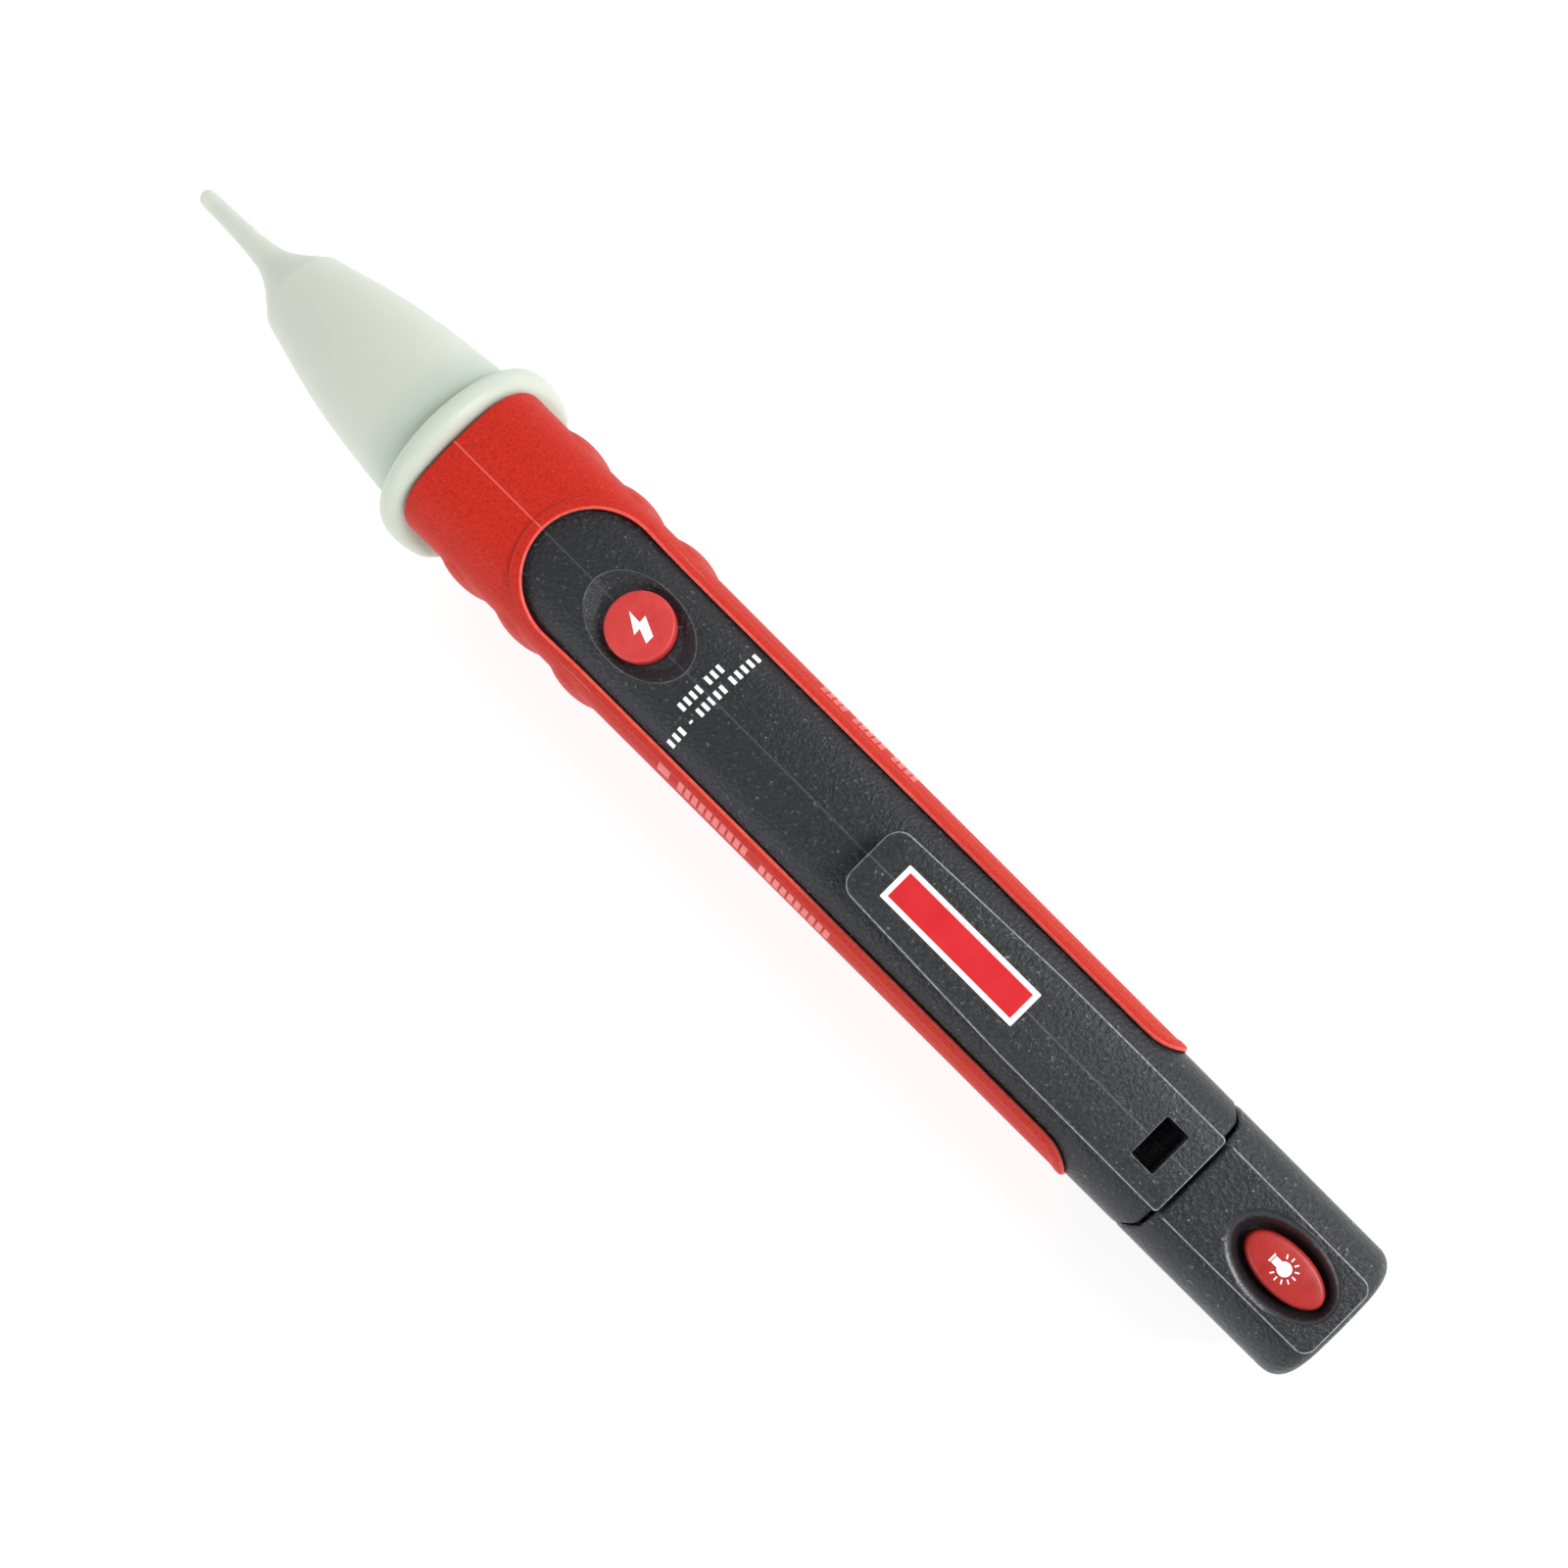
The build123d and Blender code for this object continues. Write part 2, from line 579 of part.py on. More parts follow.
# Range button with its retaining flange, and the tactile switch under it
with BuildPart() as range_button:
    post(BUTTON_STATION, FLANGE_TOP, BUTTON_TOP, BUTTON_RADIUS)
    fillet(range_button.edges().sort_by(Axis.Z)[-1], BUTTON_EDGE)
    post(BUTTON_STATION, FLANGE_BOTTOM, FLANGE_TOP, BUTTON_RADIUS + FLANGE_OVERLAP)
    post(BUTTON_STATION, RANGE_PLUNGER_TOP, FLANGE_BOTTOM, PRESSER_RADIUS)
finish(range_button.part, "range_button")

with BuildPart() as range_switch_base:
    block(
        (BUTTON_STATION - RANGE_SWITCH_HALF_SIZE, BUTTON_STATION + RANGE_SWITCH_HALF_SIZE),
        (-RANGE_SWITCH_HALF_SIZE, RANGE_SWITCH_HALF_SIZE),
        (MAIN_BOARD_TOP, RANGE_SWITCH_TOP),
    )
    post(
        BUTTON_STATION,
        MAIN_BOARD_TOP + SWITCH_FLOOR,
        RANGE_SWITCH_TOP + 1,
        RANGE_PLUNGER_RADIUS + PLUNGER_CLEARANCE,
        Mode.SUBTRACT,
    )
finish(range_switch_base.part, "range_switch_base")

with BuildPart() as range_switch_plunger:
    post(BUTTON_STATION, RANGE_PLUNGER_BOTTOM, RANGE_PLUNGER_TOP, RANGE_PLUNGER_RADIUS)
finish(range_switch_plunger.part, "range_switch_plunger")

# Flashlight button and its tactile switch
with BuildPart() as flashlight_button:
    oval_post(
        LIGHT_BUTTON_STATION,
        LIGHT_FLANGE_TOP,
        LIGHT_BUTTON_TOP,
        LIGHT_BUTTON_HALF_LENGTH,
        LIGHT_BUTTON_HALF_WIDTH,
    )
    fillet(flashlight_button.edges().sort_by(Axis.Z)[-1], LIGHT_BUTTON_EDGE)
    oval_post(
        LIGHT_BUTTON_STATION,
        LIGHT_FLANGE_BOTTOM,
        LIGHT_FLANGE_TOP,
        LIGHT_BUTTON_HALF_LENGTH + 0.45,
        LIGHT_BUTTON_HALF_WIDTH + 0.6,
    )
    post(LIGHT_BUTTON_STATION, LIGHT_PLUNGER_TOP, LIGHT_FLANGE_BOTTOM, LIGHT_PRESSER_RADIUS)
finish(flashlight_button.part, "flashlight_button")

with BuildPart() as flashlight_switch_base:
    block(
        (LIGHT_BUTTON_STATION - RANGE_SWITCH_HALF_SIZE, LIGHT_BUTTON_STATION + RANGE_SWITCH_HALF_SIZE),
        (-LIGHT_SWITCH_HALF_WIDTH, LIGHT_SWITCH_HALF_WIDTH),
        (LIGHT_BOARD_TOP, LIGHT_SWITCH_TOP),
    )
    post(
        LIGHT_BUTTON_STATION,
        LIGHT_BOARD_TOP + SWITCH_FLOOR,
        LIGHT_SWITCH_TOP + 1,
        LIGHT_PLUNGER_RADIUS + PLUNGER_CLEARANCE,
        Mode.SUBTRACT,
    )
finish(flashlight_switch_base.part, "flashlight_switch_base")

with BuildPart() as flashlight_switch_plunger:
    post(LIGHT_BUTTON_STATION, LIGHT_PLUNGER_BOTTOM, LIGHT_PLUNGER_TOP, LIGHT_PLUNGER_RADIUS)
finish(flashlight_switch_plunger.part, "flashlight_switch_plunger")

# Sensing antenna: a wire from under the board, bent forward along the nose
with BuildPart() as sensor_antenna:
    with BuildLine():
        FilletPolyline(
            (ANTENNA_REAR, 0, MAIN_BOARD_BOTTOM),
            (ANTENNA_REAR, 0, AXIS_HEIGHT),
            (ANTENNA_FRONT, 0, AXIS_HEIGHT),
            radius=ANTENNA_BEND,
        )
    with BuildSketch(Plane((ANTENNA_REAR, 0, MAIN_BOARD_BOTTOM), z_dir=(0, 0, -1))):
        Circle(ANTENNA_RADIUS)
    sweep()
finish(sensor_antenna.part, "sensor_antenna")

# Two indicator LEDs at the mouth of the nose, legs bent up to the board
with BuildPart() as indicator_leds:
    for led_y in (INDICATOR_OFFSET, -INDICATOR_OFFSET):
        rod(*INDICATOR_FLANGE, INDICATOR_FLANGE_RADIUS, led_y, INDICATOR_HEIGHT)
        rod(INDICATOR_FLANGE[1], INDICATOR_DOME, INDICATOR_RADIUS, led_y, INDICATOR_HEIGHT)
        with Locations((INDICATOR_DOME, led_y, INDICATOR_HEIGHT)):
            Sphere(INDICATOR_RADIUS)
        leg_low = INDICATOR_HEIGHT - INDICATOR_LEG_HALF
        leg_high = INDICATOR_HEIGHT + INDICATOR_LEG_HALF
        for leg_y in (led_y - INDICATOR_LEG_OFFSET, led_y + INDICATOR_LEG_OFFSET):
            leg = (leg_y - INDICATOR_LEG_HALF, leg_y + INDICATOR_LEG_HALF)
            block((INDICATOR_LEG_REAR, INDICATOR_FLANGE[0]), leg, (leg_low, leg_high))
            block(
                (INDICATOR_LEG_REAR, INDICATOR_LEG_REAR + 2 * INDICATOR_LEG_HALF),
                leg,
                (leg_high, MAIN_BOARD_BOTTOM),
            )
finish(indicator_leds.part, "indicator_leds")

# Main board and what stands on it
with BuildPart() as main_board:
    block(
        (MAIN_BOARD_REAR, MAIN_BOARD_FRONT),
        (-MAIN_BOARD_HALF_WIDTH, MAIN_BOARD_HALF_WIDTH),
        (MAIN_BOARD_BOTTOM, MAIN_BOARD_TOP),
    )
    chamfer(main_board.edges().filter_by(Axis.Z), MAIN_BOARD_CORNER)
finish(main_board.part, "main_board")

with BuildPart() as signal_chip:
    block(
        CHIP,
        (-CHIP_HALF_WIDTH, CHIP_HALF_WIDTH),
        (MAIN_BOARD_TOP + CHIP_LIFT, MAIN_BOARD_TOP + CHIP_HEIGHT),
    )
    for pin in range(CHIP_PINS):
        pin_x = CHIP_PIN_FIRST + CHIP_PIN_PITCH * pin
        for side in (1, -1):
            block(
                (pin_x - CHIP_PIN_HALF_WIDTH, pin_x + CHIP_PIN_HALF_WIDTH),
                on_side(side, (CHIP_HALF_WIDTH, CHIP_PIN_REACH)),
                (MAIN_BOARD_TOP, MAIN_BOARD_TOP + CHIP_PIN_HEIGHT),
            )
finish(signal_chip.part, "signal_chip")

with BuildPart() as smd_parts:
    for x in SMALL_PART_COLUMNS:
        for y in SMALL_PART_ROWS:
            block(
                (x - SMALL_PART_HALF_LENGTH, x + SMALL_PART_HALF_LENGTH),
                (y - SMALL_PART_HALF_WIDTH, y + SMALL_PART_HALF_WIDTH),
                (MAIN_BOARD_TOP, MAIN_BOARD_TOP + SMALL_PART_HEIGHT),
            )
finish(smd_parts.part, "smd_parts")

with BuildPart() as buzzer:
    post(BUZZER_STATION, MAIN_BOARD_TOP, BUZZER_TOP, BUZZER_RADIUS)
    post(
        BUZZER_STATION, BUZZER_TOP - BUZZER_HOLE_DEPTH, BUZZER_TOP + 0.1, BUZZER_HOLE_RADIUS, Mode.SUBTRACT
    )
finish(buzzer.part, "buzzer")

# Contact bulkhead across the front of the battery bay, with its two spring contacts
with BuildPart() as contact_bulkhead:
    cavity(
        BULKHEAD_REAR,
        BULKHEAD_FRONT,
        CAVITY_HALF_WIDTH - 0.05,
        CAVITY_BOTTOM,
        BULKHEAD_TOP + CAVITY_CORNER,
        Mode.ADD,
    )
    block(
        (BULKHEAD_REAR - 1, BULKHEAD_FRONT + 1),
        (-CAVITY_HALF_WIDTH, CAVITY_HALF_WIDTH),
        (BULKHEAD_TOP, CAVITY_TOP),
        Mode.SUBTRACT,
    )
finish(contact_bulkhead.part, "contact_bulkhead")

half_strip = CONTACT_THICKNESS / 2
with BuildPart() as positive_contact:
    leaf(
        [
            (BULKHEAD_REAR - half_strip, 5.0),
            (BULKHEAD_REAR - half_strip, 12.5),
            (BULKHEAD_REAR - 2.0, 12.5),
            (NUB_FRONT + half_strip, 9.8),
            (NUB_FRONT + half_strip, 7.8),
            (BULKHEAD_REAR - 2.0, 6.2),
        ],
        (-2.0, 2.0),
    )
finish(positive_contact.part, "positive_contact")

with BuildPart() as return_contact:
    leaf(
        [
            (BULKHEAD_REAR - half_strip, 8.6),
            (BULKHEAD_REAR - half_strip, 12.9),
            (BULKHEAD_REAR - 1.6, 12.9),
            (TRAY_FRONT + 0.3, 12.2),
            (TRAY_FRONT - 1.6, TRAY_TOP + CONTACT_THICKNESS + half_strip),
            (TRAY_FRONT - 3.6, TRAY_TOP + CONTACT_THICKNESS + 3 * half_strip + 0.3),
        ],
        (5.4, 6.3),
    )
finish(return_contact.part, "return_contact")

# Battery tray: trough for the cells, rear wall, and arms that plug into the cap
with BuildPart() as battery_tray:
    block((TRAY_REAR_WALL, TRAY_FRONT), (-TRAY_HALF_WIDTH, TRAY_HALF_WIDTH), (TRAY_BOTTOM, TRAY_TOP))
    fillet(battery_tray.edges().filter_by(Axis.X).group_by(Axis.Z)[0], TRAY_CORNER)
    rod(
        TRAY_REAR_WALL + TRAY_END_THICKNESS,
        TRAY_FRONT + 1,
        CELL_RADIUS + CELL_CLEARANCE,
        z=CELL_HEIGHT,
        mode=Mode.SUBTRACT,
    )
    for side in (1, -1):
        block(
            (CAP_REAR + CAP_END_WALL, TRAY_REAR_WALL),
            on_side(side, (TRAY_HALF_WIDTH - TRAY_ARM_THICKNESS, TRAY_HALF_WIDTH)),
            (TRAY_ARM_BOTTOM, TRAY_TOP),
        )
finish(battery_tray.part, "battery_tray")

# Two AAA cells in line, both with their nub towards the tip
for cell_name, cell_back in (("battery_rear", REAR_CELL_BACK), ("battery_front", FRONT_CELL_BACK)):
    with BuildPart() as cell:
        rod(cell_back, cell_back + CELL_BODY_LENGTH, CELL_RADIUS, z=CELL_HEIGHT)
        fillet(cell.edges(), CELL_EDGE)
        nub_back = cell_back + CELL_BODY_LENGTH
        rod(nub_back, nub_back + CELL_NUB_LENGTH, CELL_NUB_RADIUS, z=CELL_HEIGHT)
    finish(cell.part, cell_name)

# Rear contact plate, its coil spring, and the strip that carries the circuit forward
with BuildPart() as rear_contact:
    contact_back = TRAY_REAR_WALL + TRAY_END_THICKNESS
    contact_face = contact_back + CONTACT_THICKNESS
    block((contact_back, contact_face), (-4, 4), (6, TRAY_TOP + 1))
    block((contact_back, contact_face), (4, 6.2), (TRAY_TOP + 0.01, TRAY_TOP + 1))
finish(rear_contact.part, "rear_contact")

with BuildPart() as battery_spring:
    coil_length = REAR_CELL_BACK - contact_face - 2 * SPRING_WIRE_RADIUS - 0.04
    with BuildLine() as coil:
        Helix(
            pitch=coil_length / SPRING_TURNS,
            height=coil_length,
            radius=SPRING_RADIUS,
            center=(contact_face + SPRING_WIRE_RADIUS + 0.02, 0, CELL_HEIGHT),
            direction=(1, 0, 0),
        )
    with BuildSketch(coil.line ^ 0):
        Circle(SPRING_WIRE_RADIUS)
    sweep()
finish(battery_spring.part, "battery_spring")

with BuildPart() as return_strip:
    block((contact_face, TRAY_FRONT), (5.6, 6.2), (TRAY_TOP, TRAY_TOP + CONTACT_THICKNESS))
finish(return_strip.part, "return_strip")

# Flashlight: board on the cap's shelves, LED on the pen axis, clear lens in the end wall
with BuildPart() as flashlight_board:
    block(
        (CAP_REAR + CAP_END_WALL + 0.6, CAP_FRONT - 2),
        (-LIGHT_BOARD_HALF_WIDTH, LIGHT_BOARD_HALF_WIDTH),
        (LIGHT_BOARD_BOTTOM, LIGHT_BOARD_TOP),
    )
finish(flashlight_board.part, "flashlight_board")

with BuildPart() as flashlight_led:
    rod(*LIGHT_LED_FLANGE, LIGHT_LED_FLANGE_RADIUS)
    rod(LIGHT_LED_DOME, LIGHT_LED_FLANGE[0], LIGHT_LED_RADIUS)
    with Locations((LIGHT_LED_DOME, 0, AXIS_HEIGHT)):
        Sphere(LIGHT_LED_DOME_RADIUS)
    for leg_y in (-LIGHT_LED_LEG_OFFSET, LIGHT_LED_LEG_OFFSET):
        block(
            LIGHT_LED_LEGS,
            (leg_y - LIGHT_LED_LEG_HALF, leg_y + LIGHT_LED_LEG_HALF),
            (AXIS_HEIGHT - LIGHT_LED_LEG_HALF, LIGHT_BOARD_BOTTOM),
        )
finish(flashlight_led.part, "flashlight_led")

with BuildPart() as flashlight_lens:
    rod(CAP_REAR + LENS_RECESS, CAP_REAR + LENS_SEAT_DEPTH, LENS_RADIUS)
    fillet(flashlight_lens.edges().sort_by(Axis.X)[0], LENS_RECESS)
finish(flashlight_lens.part, "flashlight_lens")
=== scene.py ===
"""Looks of the non contact voltage tester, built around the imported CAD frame.

Lengths in this script are millimetres; build() turns them into metres when it makes a mesh.
"""

import math

import bpy
import numpy as np
from mathutils import Matrix, Vector, geometry


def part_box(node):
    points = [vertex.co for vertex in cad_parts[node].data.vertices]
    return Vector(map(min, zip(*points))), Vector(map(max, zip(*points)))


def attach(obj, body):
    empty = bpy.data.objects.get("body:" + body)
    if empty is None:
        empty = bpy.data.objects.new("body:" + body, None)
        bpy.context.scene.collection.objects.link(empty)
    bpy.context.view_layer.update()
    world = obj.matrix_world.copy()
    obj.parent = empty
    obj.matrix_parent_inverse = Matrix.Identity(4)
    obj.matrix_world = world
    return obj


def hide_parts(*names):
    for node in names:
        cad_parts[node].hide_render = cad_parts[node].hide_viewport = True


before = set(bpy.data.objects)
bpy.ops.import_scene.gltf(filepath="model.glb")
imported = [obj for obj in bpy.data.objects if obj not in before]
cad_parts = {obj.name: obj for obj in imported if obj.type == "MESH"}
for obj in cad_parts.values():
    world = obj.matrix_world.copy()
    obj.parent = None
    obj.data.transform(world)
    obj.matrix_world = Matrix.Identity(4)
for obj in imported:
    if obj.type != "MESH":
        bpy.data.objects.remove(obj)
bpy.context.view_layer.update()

MM = 0.001


def span(node):
    """Lowest and highest corner of a CAD node, in millimetres."""
    low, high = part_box(node)
    return np.array(low) / MM, np.array(high) / MM


TIP_LOW, TIP_HIGH = span("sensor_tip")
GRIP_LOW, GRIP_HIGH = span("grip_overmould")
BARREL_LOW, BARREL_HIGH = span("barrel")
CAP_LOW, CAP_HIGH = span("rear_cap")
CLIP_LOW, CLIP_HIGH = span("pocket_clip")
BUTTON_LOW, BUTTON_HIGH = span("range_button")
LIGHT_LOW, LIGHT_HIGH = span("flashlight_button")

# Handle section, the same construction as the CAD's
AXIS_HEIGHT = 11.2
HALF_WIDTH_AT_MIDDLE, HALF_WIDTH_TAPER = 9.69, 0.0086
CROWN_AT_MIDDLE, CROWN_TAPER = 21.65, 0.006
CROWN_DROP, CROWN_EDGE, BELLY_EDGE = 1.6, 0.5, 0.7
CROWN_CORNER, BELLY_CORNER = 6.0, 5.5
SKIN_INSET = 0.45

# The red reaches a little past the CAD's at both ends
GRIP_REAR, GRIP_FRONT = GRIP_LOW[0] - 0.35, GRIP_HIGH[0] + 0.4
SWEEP, SWEEP_DROP = 0.0165, 13.0  # how fast, and how far down, the joint behind the collar curves back
COLLAR_REAR, COLLAR_LENGTH, COLLAR_RADIUS, COLLAR_ROUNDING = GRIP_FRONT + 0.3, 3.2, 12.25, 1.5
BARREL_REAR = BARREL_LOW[0]
CAP_REAR, CAP_FRONT = CAP_LOW[0], CAP_HIGH[0]

PANEL_FRONT, PANEL_FRONT_HALF, PANEL_REAR_HALF = 26.45, 7.6, 7.2
STRIP_END_LENGTH, STRIP_END_REACH = 4.3, 4.6
LIP_WIDTH, LIP_HEIGHT = 1.35, 0.5
BUMP_STATIONS, BUMP_HEIGHT = (32.3, 23.5, 14.8), 0.66
BUMP_HALF_LENGTH, BUMP_HALF_TALL = 3.0, 5.8

BUTTON_X = (BUTTON_LOW[0] + BUTTON_HIGH[0]) / 2
BUTTON_RADIUS = 3.85
DISH_X = BUTTON_X + 0.1
DISH_HALF_LENGTH, DISH_HALF_WIDTH, DISH_DEPTH = 6.95, 4.85, 1.0
LIGHT_X = (LIGHT_LOW[0] + LIGHT_HIGH[0]) / 2
LIGHT_HALF_LENGTH, LIGHT_HALF_WIDTH = 4.65, 2.5
WINDOW_REAR, WINDOW_FRONT, WINDOW_HALF = -63.85, -60.95, 2.55
BADGE_REAR, BADGE_FRONT, BADGE_HALF = -44.3, -26.2, 2.17
SMOOTH_ANGLE = 38


# -------------------- geometry helpers

def smooth(t):
    """Smooth step from 0 to 1."""
    t = np.clip(t, 0, 1)
    return t * t * (3 - 2 * t)


def add_object(name, data):
    """A new object in the scene."""
    obj = bpy.data.objects.new(name, data)
    bpy.context.scene.collection.objects.link(obj)
    return obj


def build(name, verts, faces, material, body, replaces=(), smooth_angle=SMOOTH_ANGLE, edge=None):
    """Make a mesh object from millimetre points and put it on a body.

    edge is a second material and the numbers of the faces that have it.
    """
    mesh = bpy.data.meshes.new(name)
    mesh.from_pydata([tuple(v) for v in np.asarray(verts) * MM], [], faces)
    mesh.materials.append(material)
    if edge:
        mesh.materials.append(edge[0])
        chosen = np.zeros(len(faces), int)
        chosen[list(edge[1])] = 1
        mesh.polygons.foreach_set("material_index", chosen)
    mesh.validate()
    mesh.polygons.foreach_set("use_smooth", [True] * len(mesh.polygons))
    mesh.set_sharp_from_angle(angle=math.radians(smooth_angle))
    obj = add_object(name, mesh)
    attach(obj, body)
    if replaces:
        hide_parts(*replaces)
    return obj


def circle_through(p, q, r):
    """Centre and radius of the circle through three points."""
    (ax, ay), (bx, by), (cx, cy) = p, q, r
    d = 2 * (ax * (by - cy) + bx * (cy - ay) + cx * (ay - by))
    sa, sb, sc = ax * ax + ay * ay, bx * bx + by * by, cx * cx + cy * cy
    ux = (sa * (by - cy) + sb * (cy - ay) + sc * (ay - by)) / d
    uy = (sa * (cx - bx) + sb * (ax - cx) + sc * (bx - ax)) / d
    return ux, uy, math.hypot(ax - ux, ay - uy)


def half_section(x):
    """Points and outward normal angles of the right half of the handle's section, from crown to belly."""
    width = HALF_WIDTH_AT_MIDDLE + HALF_WIDTH_TAPER * x
    crown = CROWN_AT_MIDDLE + CROWN_TAPER * x
    shoulder = (width - CROWN_EDGE, crown - CROWN_DROP)
    belly = (width - BELLY_EDGE, 0.0)
    _, tz, tr = circle_through((-shoulder[0], shoulder[1]), (0, crown), shoulder)
    sy, sz, sr = circle_through(shoulder, (width, AXIS_HEIGHT), belly)
    # upper corner circle: inside both the crown arc and the side arc
    reach_t, reach_s = tr - CROWN_CORNER, sr - CROWN_CORNER
    gap = math.hypot(sy, sz - tz)
    along = (reach_t ** 2 - reach_s ** 2 + gap ** 2) / (2 * gap)
    off = math.sqrt(reach_t ** 2 - along ** 2)
    uy, uz = sy / gap, (sz - tz) / gap
    corner = max(
        ((along * uy + k * off * uz, tz + along * uz - k * off * uy) for k in (1, -1)),
        key=lambda c: c[0] + c[1],
    )
    low = (sy + math.sqrt((sr - BELLY_CORNER) ** 2 - (BELLY_CORNER - sz) ** 2), BELLY_CORNER)
    a1 = math.atan2(corner[0], corner[1] - tz)
    a2 = math.atan2(corner[0] - sy, corner[1] - sz)
    a3 = math.atan2(low[0] - sy, low[1] - sz)
    pieces = (
        ((0.0, tz), tr, 0.0, a1, 60),
        (corner, CROWN_CORNER, a1, a2, 90),
        ((sy, sz), sr, a2, a3, 60),
        (low, BELLY_CORNER, a3, math.pi, 70),
    )
    rows = []
    for (cy, cz), radius, start, end, count in pieces:
        for a in np.linspace(start, end, count, endpoint=False):
            rows.append((cy + radius * math.sin(a), cz + radius * math.cos(a), a))
    for t in np.linspace(0, 1, 30):
        rows.append((low[0] * (1 - t), 0.0, math.pi))
    return np.array(rows)


STATION_A, STATION_B = -88.0, 40.2
SECTION_A, SECTION_B = half_section(STATION_A), half_section(STATION_B)
_middle = (SECTION_A + SECTION_B) / 2
ARC = np.concatenate([[0], np.cumsum(np.hypot(np.diff(_middle[:, 0]), np.diff(_middle[:, 1])))])
HALF_GIRTH = ARC[-1]


def handle_point(x, s, height=0.0):
    """Points on the handle at station x and arc length s from the crown, raised by height."""
    x, s = np.asarray(x, float), np.asarray(s, float)
    t = (x - STATION_A) / (STATION_B - STATION_A)
    column = [
        np.interp(np.abs(s), ARC, SECTION_A[:, k]) * (1 - t) + np.interp(np.abs(s), ARC, SECTION_B[:, k]) * t
        for k in range(3)
    ]
    side = np.where(s < 0, -1.0, 1.0)
    y = side * (column[0] + height * np.sin(column[2]))
    z = column[1] + height * np.cos(column[2])
    return np.stack([x + 0 * y, y, z], axis=-1)


def arc_at(x, y):
    """Arc length from the crown at which the upper handle reaches half-breadth y."""
    t = (x - STATION_A) / (STATION_B - STATION_A)
    breadth = (SECTION_A[:, 0] * (1 - t) + SECTION_B[:, 0] * t)[:150]
    return math.copysign(float(np.interp(abs(y), breadth, ARC[:150])), y)


def distance_to(points, line):
    """Distance from each point to an open polyline."""
    best = np.full(len(points), 1e9)
    for a, b in zip(line[:-1], line[1:]):
        d = b - a
        t = np.clip(((points - a) @ d) / max(d @ d, 1e-12), 0, 1)
        best = np.minimum(best, np.linalg.norm(points - a - t[:, None] * d, axis=1))
    return best


def inside(points, loop):
    """Which points lie inside a closed loop."""
    x, y = points[:, 0], points[:, 1]
    result = np.zeros(len(points), bool)
    for (ax, ay), (bx, by) in zip(loop, np.roll(loop, -1, axis=0)):
        crosses = (ay > y) != (by > y)
        with np.errstate(divide="ignore", invalid="ignore"):
            at = (bx - ax) * (y - ay) / (by - ay) + ax
        result ^= crosses & (x < at)
    return result


def triangulate(points, constraints):
    """Constrained Delaunay triangles of flat points. constraints are lists of index loops or lines."""
    edges = [pair for line in constraints for pair in zip(line[:-1], line[1:])]
    out = geometry.delaunay_2d_cdt([Vector(p) for p in points], edges, [], 0, 1e-5)
    return np.array([tuple(v) for v in out[0]]), np.array(out[2])


def offset_loop(loop, distance):
    """A closed convex loop moved inwards by distance."""
    ahead = np.roll(loop, -1, axis=0) - np.roll(loop, 1, axis=0)
    ahead /= np.linalg.norm(ahead, axis=1)[:, None]
    inward = np.stack([-ahead[:, 1], ahead[:, 0]], axis=1)
    return loop + inward * distance


def ellipse(cx, cy, a, b, count=96):
    """An ellipse as a closed loop, anticlockwise."""
    t = np.linspace(0, 2 * math.pi, count, endpoint=False)
    return np.stack([cx + a * np.cos(t), cy + b * np.sin(t)], axis=1)


def arc_points(cx, cz, radius, start, end, count):
    """Points of an arc in the plane through the axis, with angles in degrees from +X."""
    angles = np.radians(np.linspace(start, end, count))
    return [(cx + radius * math.cos(a), cz + radius * math.sin(a)) for a in angles]


def rounded_polygon(corners, radii, step=0.35):
    """A closed anticlockwise loop through corners with rounded corners, evenly divided."""
    loop = []
    count = len(corners)
    for k in range(count):
        here = np.array(corners[k], float)
        back = np.array(corners[k - 1], float) - here
        on = np.array(corners[(k + 1) % count], float) - here
        back /= np.linalg.norm(back)
        on /= np.linalg.norm(on)
        turn = math.pi - math.acos(np.clip(back @ on, -1, 1))
        cut = radii[k] * math.tan(turn / 2)
        centre_way = back + on
        centre = here + centre_way / np.linalg.norm(centre_way) * radii[k] / math.cos(turn / 2)
        first, last = here + back * cut - centre, here + on * cut - centre
        for t in np.linspace(0, 1, 9):
            spoke = first * (1 - t) + last * t
            loop.append(centre + spoke / max(np.linalg.norm(spoke), 1e-9) * radii[k])
    dense = []
    for a, b in zip(loop, loop[1:] + loop[:1]):
        pieces = max(1, int(np.linalg.norm(b - a) / step))
        dense += [a + (b - a) * i / pieces for i in range(pieces)]
    return np.array(dense)


def rounded_box(rear, front, half, radius, step=0.35):
    """A closed loop round a rectangle that lies across the middle line."""
    return rounded_polygon(((rear, -half), (front, -half), (front, half), (rear, half)), (radius,) * 4, step)


def loop_lines(loops, start=0):
    """Index lines of closed loops whose points follow one another, the first from start."""
    lines = []
    for loop in loops:
        lines.append([*range(start, start + len(loop)), start])
        start += len(loop)
    return lines


def off_outline(points, loop, margin):
    """Which points are further than margin from a closed loop's outline."""
    return distance_to(points, np.concatenate([loop, loop[:1]])) > margin


def outside(points, cuts, margin=0.0):
    """Which points lie outside every cut, and further than margin from its outline."""
    result = np.ones(len(points), bool)
    for cut in cuts:
        result &= ~inside(points, cut) & (not margin or off_outline(points, cut, margin))
    return result


